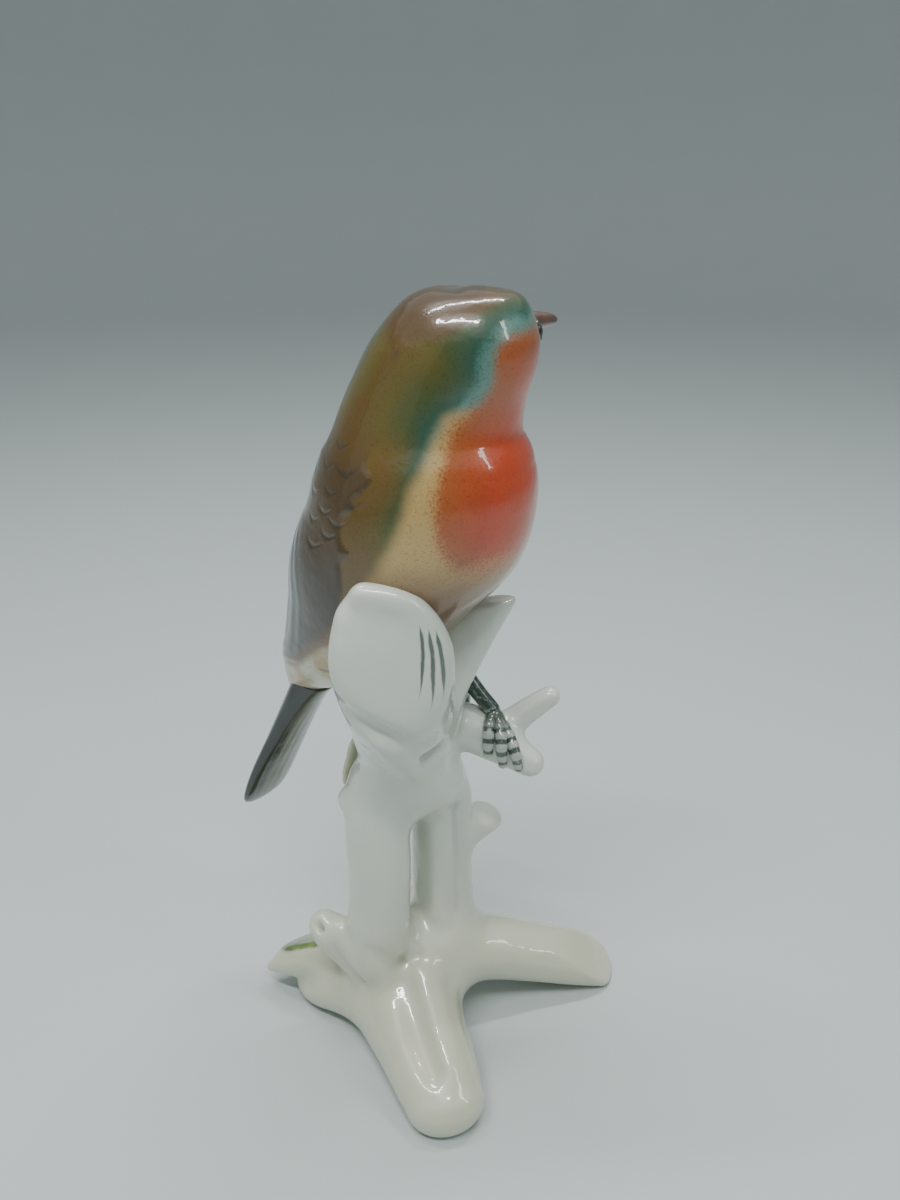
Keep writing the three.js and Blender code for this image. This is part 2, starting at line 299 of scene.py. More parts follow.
# Brushed lines on the cut branch: x at the top, middle and foot, top and foot heights, half width.
BRUSHED_LINES = [
    (-4.7, -4.2, -5.2, 97.6, 83.5, 0.38),
    (-3.5, -2.6, -3.2, 97.0, 81.0, 0.42),
    (-2.4, -1.1, -1.2, 96.4, 82.5, 0.42),
]


def brushed_lines(paint):
    x = paint.across("X")
    z = paint.across("Z")
    front = paint.across("Y").rise(-9.0, -11.0)
    wobble = (paint.noise(3.0) - 0.5) * 1.2
    bristles = paint.noise(0.9, detail=3.0, stretch=(1.0, 1.0, 0.25)).rise(0.1, 0.42)
    total = None
    for top, middle, foot, high, low, half_width in BRUSHED_LINES:
        along = (z - low) / (high - low)
        bend = (along * (1.0 - along)) * (4.0 * middle - 2.0 * (top + foot))
        route = along * (top - foot) + foot + bend
        reach = along.rise(0.0, 0.5) * along.rise(1.0, 0.8)
        edge = (x - route + wobble * 0.3).size()
        line = (reach * half_width - edge).rise(-0.05, 0.22) * along.rise(0.0, 0.08) * along.rise(1.0, 0.96)
        total = line if total is None else total.math("MAXIMUM", line)
    return total * front * bristles * 0.85


def plumage():
    paint = Glaze("painted_plumage")
    tone = colours()
    height = paint.across("Z")
    drift = paint.noise(9, detail=3.0) - 0.5
    grain = paint.noise(sizes().speckle_size, detail=3.0) - 0.5
    streak = paint.noise(4.5, detail=3.0, stretch=(1.0, 1.0, 0.35)) - 0.5
    red = paint.attribute("red") + drift * 1.6 + grain * 1.2
    band = 0.0 - paint.attribute("red") + streak * 3.0 + grain * 1.6

    # Behind the face: pale blue, teal, grey green, olive and gold, then the brown crown and mantle.
    base = paint.mix(band.rise(1.0, 3.4), tone.pale_blue[:], tone.teal[:])
    base = paint.mix(band.rise(2.6, 6.5), base, tone.sage[:])
    base = paint.mix(band.rise(5.5, 10.5), base, tone.olive[:])
    base = paint.mix(band.rise(10.0, 16.0), base, tone.gold[:])
    base = paint.mix(band.rise(17.0, 26.0), base, tone.wing[:])
    crown = paint.attribute("crown") + grain * 1.2 + drift * 1.5
    base = paint.mix(crown.rise(-1.6, 1.4), base, tone.crown[:])
    base = paint.mix(crown.rise(1.0, 6.0) * 0.5, base, tone.umber[:])
    base = paint.mix(streak.rise(0.12, 0.3) * height.rise(118, 126) * 0.35, base, tone.umber[:])

    # The coverts darken to bronze at their scalloped ends, over the folded wing.
    wing = paint.attribute("wing")
    bronze = (wing + drift * 4.0).rise(-7.5, -1.5) * height.rise(127, 120)
    base = paint.mix(bronze, base, tone.bronze[:])
    folded = paint.mix((height + drift * 6.0).rise(112, 98), tone.wing[:], tone.umber[:])
    folded = paint.mix(streak.rise(0.0, 0.3) * 0.3, folded, tone.gold[:])
    base = paint.mix(wing.rise(-0.3, 0.35) * (height + drift * 3.0).rise(126, 119.5), base, folded)
    quill = paint.attribute("quill")
    slate = paint.mix(streak.rise(-0.1, 0.25), tone.quill[:], tone.tail[:])
    base = paint.mix((quill + drift * 2.0).rise(-1.5, 2.5), base, slate)

    flank = paint.mix((height + drift * 5.0).rise(108, 98), tone.flank[:], tone.belly[:])
    base = paint.mix((paint.attribute("flank") + drift * 2.0 + grain).rise(-1.4, 1.8), base, flank)
    under = paint.mix(streak.rise(-0.15, 0.15), tone.warm[:], tone.flank[:])
    base = paint.mix((paint.attribute("vent") + drift).rise(-0.5, 1.2), base, under)
    # The drawn feather tips, and the vent opening's dark line of painted shade
    base = paint.mix(paint.attribute("marks") * 0.45, base, tone.tail[:])

    ember = paint.mix((red + drift * 3.0).rise(0.5, 8.0), tone.breast_edge[:], tone.breast[:])
    ember = paint.mix(paint.noise(16).rise(0.45, 0.7) * 0.25, ember, tone.umber[:])
    low = height.rise(98, 111)
    base = paint.mix(speckled(paint, red.rise(-2.4, 1.8) * low), base, ember)
    base = paint.mix(grain.rise(0.0, 0.25) * 0.38, base, tone.umber[:])
    soft = paint.noise(10, detail=2.0) + paint.noise(2.2) * 0.25 + paint.noise(0.9) * 0.1
    return paint.gloss(base, 0.3, soft, 0.24)


def clay_leaf_glaze():
    """White porcelain with a green brushed face where the leaf is cut."""
    paint = Glaze("painted_leaf_on_root")
    tone = colours()
    (px, py, pz), (nx, ny, nz), _, _ = LEAF_FACE
    x, y, z = [paint.across(axis) for axis in "XYZ"]
    above = (x - px) * nx + (y - py) * ny + (z - pz) * nz
    cloud = paint.noise(3.2, detail=3.0)
    green = paint.mix(cloud.rise(0.3, 0.7), tone.leaf[:], tone.sage[:])
    lateral = (y - py).size() * 0.2
    vein = lateral.rise(0.14, 0.04)
    rib = ((x * 0.42 + lateral * 2.6).math("FRACT") - 0.5).size().rise(0.12, 0.03)
    green = paint.mix(vein.math("MAXIMUM", rib * 0.6) * 0.5, green, tone.ink[:])
    green = paint.mix(above.rise(-1.1, -0.4) * lateral.rise(0.75, 1.1) * 0.7, green, tone.teal[:])
    base = paint.mix((above + (cloud - 0.5) * 0.8).rise(-1.3, -0.7), tone.warm[:], green)
    return paint.gloss(base, 0.3, paint.noise(7) + paint.noise(1.6) * 0.12, 0.3)


def one_paint(name, low, high, width, roughness=0.3, ink=None):
    """A plain underglaze colour, clouded between two tones."""
    paint = Glaze(name)
    cloud = paint.noise(width, detail=3.0)
    grain = paint.noise(sizes().speckle_size, detail=2.0)
    base = paint.mix((cloud + (grain - 0.5) * 0.5).rise(0.3, 0.7), low, high)
    return paint.gloss(base, roughness, paint.noise(4, detail=2.0), 0.12)


# ---------------------------------------------------------------- curves and meshes

def through(stations, per_span):
    """A smooth curve through rows of numbers, with per_span points to each span."""
    rows = np.array(stations, float)
    padded = np.vstack([2 * rows[0] - rows[1], rows, 2 * rows[-1] - rows[-2]])
    t = np.linspace(0, 1, per_span, endpoint=False)[:, None]
    spans = [
        0.5 * (2 * b + (c - a) * t + (2 * a - 5 * b + 4 * c - d) * t**2 + (3 * b - a - 3 * c + d) * t**3)
        for a, b, c, d in zip(padded, padded[1:], padded[2:], padded[3:])
    ]
    return np.vstack([*spans, rows[-1:]])


def unit(rows):
    return rows / np.maximum(np.linalg.norm(rows, axis=-1, keepdims=True), 1e-9)


def smooth_step(values, start, end):
    t = np.clip((values - start) / (end - start), 0, 1)
    return t * t * (3 - 2 * t)


def graph(points, values):
    """A smooth curve through points (x, y), read at values."""
    line = through(sorted(points), 12)
    return np.interp(values, line[:, 0], line[:, 1])


def make_mesh(name, points, faces, normals=None, attributes=None):
    """A mesh object from millimetre points, with shared normals and named point values."""
    mesh = bpy.data.meshes.new(name)
    mesh.from_pydata((points * MM + FOOT).tolist(), [], [list(map(int, face)) for face in faces])
    mesh.polygons.foreach_set("use_smooth", np.ones(len(mesh.polygons), bool))
    for key, values in (attributes or {}).items():
        layer = mesh.attributes.new(key, "FLOAT", "POINT")
        layer.data.foreach_set("value", np.asarray(values, np.float32))
    if normals is not None:
        mesh.normals_split_custom_set_from_vertices(normals.tolist())
    mesh.update()
    piece = bpy.data.objects.new(name, mesh)
    bpy.context.scene.collection.objects.link(piece)
    return piece


def settle(piece, material, slot, *nodes):
    """Give a finished piece its glaze and its place in the assembly."""
    piece.data.materials.clear()
    piece.data.materials.append(material)
    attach(piece, "root")
    if nodes:
        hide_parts(*nodes)
        check_box(piece, nodes)


def check_box(piece, nodes):
    """Raise an error if a piece has left the space of the CAD solids that it stands for."""
    boxes = [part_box(node) for node in nodes]
    low = np.min([box[0] for box in boxes], axis=0) - BOX_SLACK * MM
    high = np.max([box[1] for box in boxes], axis=0) + BOX_SLACK * MM
    flat = np.empty(len(piece.data.vertices) * 3)
    piece.data.vertices.foreach_get("co", flat)
    points = flat.reshape(-1, 3)
    over = max((low - points.min(axis=0)).max(), (points.max(axis=0) - high).max())
    if over > 0:
        raise RuntimeError(f"{piece.name} stands {over / MM:.1f} mm too far outside its CAD solid")


def loft(rings, closed_start=True, closed_end=True):
    """Faces of a stack of rings, each an equal number of points, closed by fans at its ends."""
    count, sides = rings.shape[:2]
    ids = np.arange(count * sides).reshape(count, sides)
    right = np.roll(ids, -1, axis=1)
    quads = np.stack([ids[:-1], right[:-1], right[1:], ids[1:]], axis=-1).reshape(-1, 4)
    points = rings.reshape(-1, 3)
    faces = quads.tolist()
    if closed_start:
        points = np.vstack([points, rings[0].mean(axis=0)])
        faces += [[len(points) - 1, b, a] for a, b in zip(ids[0], right[0])]
    if closed_end:
        points = np.vstack([points, rings[-1].mean(axis=0)])
        faces += [[len(points) - 1, a, b] for a, b in zip(ids[-1], right[-1])]
    return points, faces


def ring_normals(rings):
    """Outward normals of a stack of rings."""
    along = np.gradient(rings, axis=0)
    around = np.roll(rings, -1, axis=1) - np.roll(rings, 1, axis=1)
    return unit(np.cross(around, along))


def recalculate_outward(piece):
    shape = bmesh.new()
    shape.from_mesh(piece.data)
    bmesh.ops.remove_doubles(shape, verts=shape.verts, dist=1e-7)
    bmesh.ops.recalc_face_normals(shape, faces=shape.faces)
    shape.to_mesh(piece.data)
    shape.free()


# ---------------------------------------------------------------- the stump, carved from a block of clay

BAND = 6.0  # distances are worked out this far from each limb's surface


def smooth_least(a, b, reach):
    h = np.clip(reach - np.abs(a - b), 0, None) / reach
    return np.minimum(a, b) - h * h * reach / 4


def smooth_most(a, b, reach):
    return -smooth_least(-a, -b, reach)


class Clay:
    """A block of clay on a grid. Its field is the distance outside the limbs laid in it so far."""

    def __init__(self, low, high, step):
        self.low = np.array(low, float)
        self.step = step
        self.shape = tuple(np.ceil((np.array(high) - self.low) / step).astype(int) + 1)
        self.field = np.full(self.shape, BAND, np.float32)
        self.nearest = np.full(self.shape, 1e3, np.float32)
        self.owner = np.full(self.shape, -1, np.int16)
        self.names = []

    def window(self, low, high):
        """The part of the grid inside a box, and its three coordinates."""
        start = np.clip(np.floor((low - self.low) / self.step).astype(int), 0, self.shape)
        stop = np.clip(np.ceil((high - self.low) / self.step).astype(int) + 1, 0, self.shape)
        part = tuple(slice(a, b) for a, b in zip(start, stop))
        axes = [self.low[k] + self.step * np.arange(start[k], stop[k]) for k in range(3)]
        grid = np.meshgrid(*axes, indexing="ij", sparse=True)
        return part, [axis.astype(np.float32) for axis in grid]

    def limb(self, stations, across=Y_AXIS, per_span=5):
        """Distance outside a limb of stations (x, y, z, radius across, radius the other way)."""
        rows = [(*row, row[3]) if len(row) == 4 else row for row in stations]
        dense = through(rows, per_span)
        points = dense[:, :3]
        radii = np.maximum(dense[:, 3:], 0.15)
        margin = radii.max() + BAND
        whole, _ = self.window(points.min(axis=0) - margin, points.max(axis=0) + margin)
        distance = np.full([part.stop - part.start for part in whole], BAND, np.float32)
        for k in range(len(points) - 1):
            a, b = points[k], points[k + 1]
            way = b - a
            length = np.linalg.norm(way)
            tangent = way / length
            side = unit(across - across @ tangent * tangent)
            other = np.cross(tangent, side)
            margin = radii[k:k + 2].max() + BAND
            part, (x, y, z) = self.window(np.minimum(a, b) - margin, np.maximum(a, b) + margin)
            dx, dy, dz = x - a[0], y - a[1], z - a[2]
            t = np.clip((dx * tangent[0] + dy * tangent[1] + dz * tangent[2]) / length, 0, 1)
            dx, dy, dz = dx - t * way[0], dy - t * way[1], dz - t * way[2]
            ra, rb = [radii[k, i] + (radii[k + 1, i] - radii[k, i]) * t for i in (0, 1)]
            rt = np.minimum(ra, rb)
            u = (dx * side[0] + dy * side[1] + dz * side[2]) / ra
            v = (dx * other[0] + dy * other[1] + dz * other[2]) / rb
            w = (dx * tangent[0] + dy * tangent[1] + dz * tangent[2]) / rt
            q = np.sqrt(u * u + v * v + w * w)
            slope = np.sqrt((u / ra) ** 2 + (v / rb) ** 2 + (w / rt) ** 2)
            near = q * (q - 1) / np.maximum(slope, 1e-4)
            inner = tuple(
                slice(p.start - o.start, p.stop - o.start) for p, o in zip(part, whole))
            distance[inner] = np.minimum(distance[inner], near)
        return whole, distance

    def add(self, name, stations, across=Y_AXIS, blend=3.0, cuts=()):
        part, distance = self.limb(stations, across)
        for cut in cuts:
            distance = smooth_most(distance, self.cut_distance(part, *cut[:3]), cut[3])
        closer = distance < self.nearest[part]
        self.names.append(name)
        self.owner[part][closer] = len(self.names) - 1
        self.nearest[part] = np.minimum(self.nearest[part], distance)
        self.field[part] = smooth_least(self.field[part], distance, blend)

    def cut_distance(self, part, point, normal, crown):
        """Distance beyond a cut, which is a ball's surface of radius crown so that it domes."""
        out = unit(np.array(normal, float))
        centre = np.array(point, float) - out * crown
        axes = [self.low[k] + self.step * np.arange(part[k].start, part[k].stop) for k in range(3)]
        x, y, z = np.meshgrid(*axes, indexing="ij", sparse=True)
        away = np.sqrt((x - centre[0]) ** 2 + (y - centre[1]) ** 2 + (z - centre[2]) ** 2)
        return (away - crown).astype(np.float32)

    def ridge(self, stations, blend):
        part, distance = self.limb(stations)
        self.field[part] = smooth_least(self.field[part], distance, blend)

    def groove(self, stations, blend):
        part, distance = self.limb(stations)
        self.field[part] = smooth_most(self.field[part], -distance, blend)

    def soften(self, values, times=1):
        """Blur by a quarter, a half and a quarter along each axis."""
        for _ in range(times):
            for axis in range(3):
                inner = [slice(None)] * 3
                before, after = list(inner), list(inner)
                inner[axis], before[axis], after[axis] = slice(1, -1), slice(None, -2), slice(2, None)
                out = values.copy()
                out[tuple(inner)] = (
                    values[tuple(inner)] * 0.5 + (values[tuple(before)] + values[tuple(after)]) * 0.25)
                values = out
        return values

    def sample(self, values, points):
        """Values between grid points, by straight lines along each axis."""
        spot = (points - self.low) / self.step
        cell = np.clip(np.floor(spot).astype(int), 0, np.array(self.shape) - 2)
        f = spot - cell
        total = 0
        for corner in np.ndindex(2, 2, 2):
            weight = np.prod(np.where(np.array(corner) == 1, f, 1 - f), axis=1)
            i, j, k = (cell + corner).T
            total = total + weight * values[i, j, k]
        return total

    def skin(self):
        """Points, faces and normals of the clay's surface, with each face's limb."""
        field = self.field
        inside = field < 0
        count = np.zeros([n - 1 for n in self.shape], np.int8)
        corners = list(np.ndindex(2, 2, 2))
        for di, dj, dk in corners:
            count += inside[di:count.shape[0] + di, dj:count.shape[1] + dj, dk:count.shape[2] + dk]
        cells = np.argwhere((count > 0) & (count < 8))
        table = np.full(count.shape, -1, np.int32)
        table[tuple(cells.T)] = np.arange(len(cells))
        values = {c: field[tuple((cells + c).T)] for c in corners}
        total = np.zeros((len(cells), 3))
        crossings = np.zeros(len(cells))
        for first in corners:
            for axis in range(3):
                if first[axis]:
                    continue
                second = tuple(1 if k == axis else first[k] for k in range(3))
                a, b = values[first], values[second]
                crosses = (a < 0) != (b < 0)
                t = np.where(crosses, a / np.where(crosses, a - b, 1), 0)
                spot = np.array(first)[None, :] + np.outer(t, np.eye(3)[axis])
                total += spot * crosses[:, None]
                crossings += crosses
        points = self.low + self.step * (cells + total / crossings[:, None])
        faces = []
        for axis in range(3):
            one, two = [(1, 2), (2, 0), (0, 1)][axis]
            low = [slice(1, -1)] * 3
            high = [slice(1, -1)] * 3
            low[axis], high[axis] = slice(0, -1), slice(1, None)
            a, b = inside[tuple(low)], inside[tuple(high)]
            start = np.argwhere(a != b)
            offset = np.ones(3, int)
            offset[axis] = 0
            start = start + offset
            leaving = inside[tuple(start.T)]
            steps = [np.zeros(3, int), np.eye(3, dtype=int)[one], np.eye(3, dtype=int)[one]
                     + np.eye(3, dtype=int)[two], np.eye(3, dtype=int)[two]]
            quad = np.stack([table[tuple((start - s).T)] for s in steps], axis=1)
            quad[~leaving] = quad[~leaving][:, ::-1]
            faces.append(quad)
        faces = np.vstack(faces)
        slopes = [np.gradient(field, self.step, axis=k).astype(np.float32) for k in range(3)]
        for _ in range(2):
            slope = np.stack([self.sample(s, points) for s in slopes], axis=1)
            depth = self.sample(field, points)
            points -= slope * (depth / np.maximum((slope**2).sum(axis=1), 0.2))[:, None]
        normals = unit(np.stack([self.sample(s, points) for s in slopes], axis=1))
        middle = points[faces].mean(axis=1)
        cell = np.clip(np.round((middle - self.low) / self.step).astype(int), 0, np.array(self.shape) - 1)
        return points, faces, normals, self.owner[tuple(cell.T)]


GROUND = ((0, 0, 0), (0, 0, -1), 4000.0, 0.5)
STUB_FACE = ((-9, -19.5, 88), (0.1, -0.96, 0.2), 75.0, 3.0)
SPIKE_FACE = ((9.2, 2, 92.6), (-0.1, -0.05, 1), 150.0, 0.7)
LEAF_FACE = ((-30, 5, 12.4), (-0.28, 0.46, 0.84), 90.0, 0.5)
RIGHT_FACE = ((27, 7.4, 10), (0.64, -0.2, 0.74), 60.0, 0.6)
SIDE_FACE = ((8, 7.6, 43.4), (0.5, -0.1, 0.86), 20.0, 1.2)

# Limbs of the stump: name, stations, direction of the first radius, blend, cuts.
LIMBS = [
    ("trunk", [
        (-7.4, -0.8, 56.5, 6.4, 8.8), (-8, -3, 61, 7, 8.2), (-8.6, -4.4, 68, 7.4, 8),
        (-8, -5, 75, 7.8, 8.2)], Y_AXIS, 3.0, ()),
    ("front_stem", [
        (-12.6, -2, 57, 5.4, 6), (-13.6, -3.4, 50, 5.6, 6.1), (-13.4, -4.4, 40, 5.6, 6),
        (-13.8, -4.8, 29, 5.6, 6), (-14.4, -4.6, 19, 6.2, 6.2)], Y_AXIS, 5.0, ()),
    ("rear_stem", [
        (-3.4, 2.4, 59, 5, 5.2), (-1.7, 4.0, 50, 5.2, 5.9), (-1.6, 4.4, 40, 5.2, 6),
        (-1.5, 4.4, 29, 5.2, 6), (-0.8, 4, 19.5, 6, 6.3)], Y_AXIS, 4.0, ()),
    ("cut_stub", [
        (-8.4, -7, 73, 7.4, 8.2), (-8.8, -11.6, 81, 8.4, 9.2), (-9.6, -14.6, 89.5, 8.4, 9.6),
        (-10.8, -15.8, 96.4, 6.4, 7.4)], Y_AXIS, 3.0, (STUB_FACE,)),
    ("spike_stub", [
        (-4.4, -3.4, 72, 5.8, 6), (-1.6, -1.8, 78.6, 4.6, 5.2), (2.4, 0.4, 85, 3.4, 4.6),
        (6.6, 2, 91, 2.4, 3.9), (9.4, 2.8, 95.4, 2, 3.6)], Y_AXIS, 3.0, (SPIKE_FACE,)),
    ("perch", [
        (-4, 1.5, 67.6, 4.8), (2, 2.4, 67, 4.4), (7.6, 1.2, 65, 4.2), (12, -0.6, 62.8, 3.2),
        (14.6, -1.8, 61.6, 2.7)], Y_AXIS, 3.0, ()),
    ("perch_twig", [
        (8.6, 2.6, 65, 2.8), (12, 3.4, 67.4, 2.6), (15.6, 4, 70, 2.3), (18.4, 4.4, 71.8, 2)],
        Y_AXIS, 2.0, ()),
    ("root_crown", [
        (-5.6, 0, 9, 9.4, 8.8), (-5.6, 0, 12, 9.4, 9.4), (-6, -0.4, 15.5, 8, 9.4)],
        Y_AXIS, 4.0, (GROUND,)),
    ("root_front", [
        (-8, -4, 10.4, 10.2, 8), (-6, -12, 8.4, 8.7, 7), (-2.4, -20.6, 6.2, 7.4, 6),
        (-0.7, -27, 3.7, 7.1, 5.2)], X_AXIS, 4.0, (GROUND,)),
    ("root_right", [
        (0, 2.4, 13, 7.4), (9, 4, 11.4, 6.6), (17.6, 5.6, 8.4, 6.2, 6), (25.4, 6.8, 5.8, 6, 5.6),
        (32, 7.4, 3.6, 5.2, 5)], Y_AXIS, 4.0, (GROUND, RIGHT_FACE)),
    ("root_left", [
        (-11, -0.6, 10, 7.6), (-19, 0.8, 7, 7, 5.8), (-26.4, 2.8, 3.8, 6, 4.2),
        (-29.8, 4.2, 2.4, 3.6, 2.8)], Y_AXIS, 4.0, (GROUND,)),
    ("root_back", [
        (-5.4, 5, 10.6, 8, 7.8), (-6.4, 13.5, 8.2, 7.4, 6.6), (-8, 21.4, 6, 6.4, 5.8),
        (-9, 27, 3.4, 5.4, 4.8)], X_AXIS, 4.0, (GROUND,)),
    ("side_stub", [
        (0.4, 5.8, 40, 4), (4.4, 6.8, 41.2, 3.8), (8.4, 7.8, 43.4, 3.4)], Y_AXIS, 2.5, (SIDE_FACE,)),
    ("stem_knob", [(-17, -2.8, 54, 2.6), (-18.6, -3, 54.4, 2.1)], Y_AXIS, 2.0, ()),
    ("bud_knot", [
        (-17, -3.6, 16.6, 4.6), (-20.6, -3.8, 20, 4.2), (-23.2, -3.8, 22.8, 3.8),
        (-24.8, -3.6, 24.6, 3.1)], Y_AXIS, 2.5, ()),
    ("leaf_base", [
        (-21, 4.6, 11.4, 7, 5.8), (-27, 4.6, 10.4, 6.2, 5.2), (-33, 4.6, 7.6, 4, 3.4),
        (-38.6, 4.8, 4.8, 1, 0.9)], Y_AXIS, 2.5, (LEAF_FACE,)),
]

# Tooled detail: folds pressed into the clay, and ridges and webs left standing on it.
GROOVES = [
    ([(-24.4, -5.4, 24.4, 0.6), (-27.4, -5.8, 28.4, 1.3)], 0.7),
    ([(-22.6, -8, 22.6, 0.7), (-20.6, -8.6, 18.4, 0.9), (-17.6, -9.4, 15, 0.7)], 1.6),
    ([(-18.4, -18.6, 83, 0.7), (-12.4, -19.4, 79.8, 1.1), (-7, -18.8, 76.2, 1.1), (-3, -16, 74.6, 0.8)], 2.6),
    ([(-4.4, -12.4, 70.4, 0.9), (-2, -10.8, 71.6, 0.7)], 1.6),
    ([(-8.8, -11.6, 17.6, 1.2), (-7.4, -16.4, 15.2, 1.9), (-5.4, -21.4, 13, 1.9), (-3.2, -26, 11, 1.4)], 3.0),
    ([(-14.4, -11.6, 24, 1.0), (-10.6, -10.6, 20, 1.2), (-8.6, -8, 19.6, 0.9)], 2.2),
    ([(-7.6, -8.2, 22.4, 1.0), (-6.4, -7.8, 20.6, 1.3)], 1.2),
    ([(1.2, -0.2, 50, 0.8), (1.6, 0, 38, 1.0), (1.8, -0.4, 26, 0.8)], 2.4),
]
RIDGES = [
    ([(-13.4, -15, 101.2, 1.4), (-8, -15.4, 100.2, 1.7), (-4.2, -15, 97.2, 1.7),
      (-1.7, -14.4, 92, 1.7), (-1.4, -13.4, 86, 1.5)], 2.4),
    ([(-10.6, -17.6, 76.6, 1.3), (-9, -14.4, 71.4, 1.5), (-5.4, -10, 66, 1.4), (-2.8, -7.8, 65.4, 1.1)], 3.2),
    ([(-4.6, -9.6, 14.4, 2.6), (-3.2, -16, 11.8, 2.6), (-1.4, -23, 8.6, 2.4)], 4.5),
    ([(-22, 0.2, 6, 4.2), (-15.8, -5.4, 5.6, 4.6), (-10.2, -14.6, 5, 3.8), (-6.6, -22, 4.6, 3.2)], 6.0),
    ([(-7.2, -0.4, 12, 3.0), (-7, 0.2, 20.5, 2.2)], 3.0),
    ([(-2.6, 0, 46, 0.9), (-2.6, 0, 34, 1.0), (-2.4, -0.6, 22, 1.0)], 2.6),
]
LEAF_NODE = "leaf_base"
CAP_DEPTH = 1.2  # millimetres that a piece's hidden end first goes straight into the clay

WARM_LIMBS = {"root_crown", "root_front", "root_right", "root_left", "root_back", "bud_knot"}


def edge_loops(faces):
    """Closed runs of the edges that only one face has, in the order that leaves a face's left."""
    starts = faces.reshape(-1)
    ends = np.roll(faces, -1, axis=1).reshape(-1)
    edges = set(zip(starts.tolist(), ends.tolist()))
    onward = {}
    for a, b in edges:
        if (b, a) not in edges:
            onward.setdefault(a, []).append(b)
    loops = []
    while onward:
        first = next(iter(onward))
        loop = [first]
        here = onward[first].pop()
        if not onward[first]:
            del onward[first]
        while here != first:
            loop.append(here)
            following = onward[here].pop()
            if not onward[here]:
                del onward[here]
            here = following
        loops.append(loop)
    return loops


def clay_piece(name, points, faces, normals, hollow):
    """One limb's share of the clay's skin, closed inside the clay where it meets its neighbours."""
    used, local = np.unique(faces, return_inverse=True)
    local = local.reshape(faces.shape)
    own = points[used]
    own_normals = normals[used]
    extra = []
    caps = []
    for loop in edge_loops(local):
        onward = loop[1:] + loop[:1]
        sunk = own[loop] - own_normals[loop] * CAP_DEPTH
        first = len(used) + len(extra)
        extra += [*sunk, sunk.mean(axis=0)]
        hub = first + len(loop)
        for k, (here, after) in enumerate(zip(loop, onward)):
            below = first + k
            below_after = first + (k + 1) % len(loop)
            caps += [[below, below_after, after, here], [hub, below_after, below]]
    count = len(extra)
    all_points = np.vstack([own, *extra]) if count else own
    all_normals = np.vstack([own_normals, np.tile(DOWN, (count, 1))]) if count else own_normals
    values = np.concatenate([hollow[used], np.zeros(count)])
    return make_mesh(name, all_points, local.tolist() + caps, all_normals, {"hollow": values})


@functools.cache
def stump_clay():
    """The whole stump as one block of clay."""
    clay = Clay((-46, -38, -2), (44, 38, 107), sizes().clay_step)
    for name, stations, across, blend, cuts in LIMBS:
        clay.add(name, stations, across, blend, cuts)
    for stations, blend in RIDGES:
        clay.ridge(stations, blend)
    ground = clay.cut_distance(tuple(slice(0, n) for n in clay.shape), *GROUND[:3])
    clay.field = smooth_most(clay.field, ground, GROUND[3])
    for stations, blend in GROOVES:
        clay.groove(stations, blend)
    clay.field = clay.soften(clay.field, 2)
    return clay


class PORCELAIN_OT_stump(bpy.types.Operator):
    """Model the stump, its branches and its roots as one skin of clay, a piece to each limb"""
    bl_idname = "porcelain.stump"
    bl_label = "Stump and Roots"

    def execute(self, context):
        clay = stump_clay()
        points, faces, normals, owners = clay.skin()
        # How deep each point lies in a hollow of the clay; the white glaze paints brown-tinted shade there
        wide = clay.soften(clay.field, 10)
        hollow = -clay.sample(wide, points) / 0.5
        glaze = white_glaze()
        for index, name in enumerate(clay.names):
            own = faces[owners == index]
            if not len(own):
                raise RuntimeError(f"{name} has no surface of its own")
            piece = clay_piece(f"clay_{name}", points, own, normals, hollow)
            if name == LEAF_NODE:
                settle(piece, clay_leaf_glaze(), "painted_leaf", name)
                continue
            slot = "warm_white_glaze" if name in WARM_LIMBS else "white_glaze"
            settle(piece, glaze, slot, name)
        return {"FINISHED"}


# ---------------------------------------------------------------- the bird

BODY_TURN = 20.0  # degrees the breast is turned from +X towards -Y
BEAK_TURN = 62.0  # degrees the beak is turned from the breast towards the bird's left
BODY_PIVOT_X = -4.0
BODY_SIDE = 0.92
RING_LEVEL = 0.6
POLE_RADIUS = 0.05
NECK_Z = 126.0

# Stations of the bird's spine: x, z and the radius from breast to back.
SPINE = [
    (5.2, 144.5, 0), (4.8, 142.9, 7.2), (2.8, 139.6, 10.8), (0.7, 135, 12.6), (-1.6, 129.4, 13.5),
    (-3.1, 124, 14.8), (-3.4, 119, 17), (-3.9, 113.6, 18.2), (-5.6, 106.5, 18.4),
    (-10, 98.5, 17), (-13.7, 90.5, 14.5), (-18.8, 83, 10.8), (-25.6, 75, 5.2), (-28.6, 70.6, 0),
]

# Edges of the painted areas as degrees from the breast, or from the beak for the red, and height.
RED_EDGE = [
    (0, 99), (20, 100), (42, 102.5), (56, 106), (64, 111), (68, 118), (76, 121), (86, 123.5),
    (97, 126), (102, 130), (104, 132.5), (109, 135.5), (107, 137.6), (92, 138.6), (70, 139),
    (48, 139.6), (28, 141.2), (0, 142.4)]
FLANK_EDGE = [
    (0, 128.5), (58, 128.5), (68, 126), (72, 123), (78, 119), (83, 114), (86, 109), (88, 104),
    (90, 100), (95, 95), (101, 90), (110, 85), (128, 80), (150, 77), (180, 76), (180, 66)]
WING_EDGE = [
    (180, 127), (120, 126), (98, 124.6), (103.5, 122.6), (105, 120.6), (99.5, 118.8), (104, 116.6),
    (108.5, 115.2), (107, 114), (112, 112.2), (112, 110), (108, 108), (103.5, 107), (105.5, 105.2),
    (102, 103.2), (97, 100), (96, 96), (98, 90), (102, 85), (109, 81.5), (122, 80.5), (150, 79), (180, 78)]
QUILL_EDGE = [
    (180, 112), (160, 109.5), (146, 106), (134, 101.5), (124, 96), (118, 90), (110, 84), (109, 81),
    (130, 79), (180, 77)]
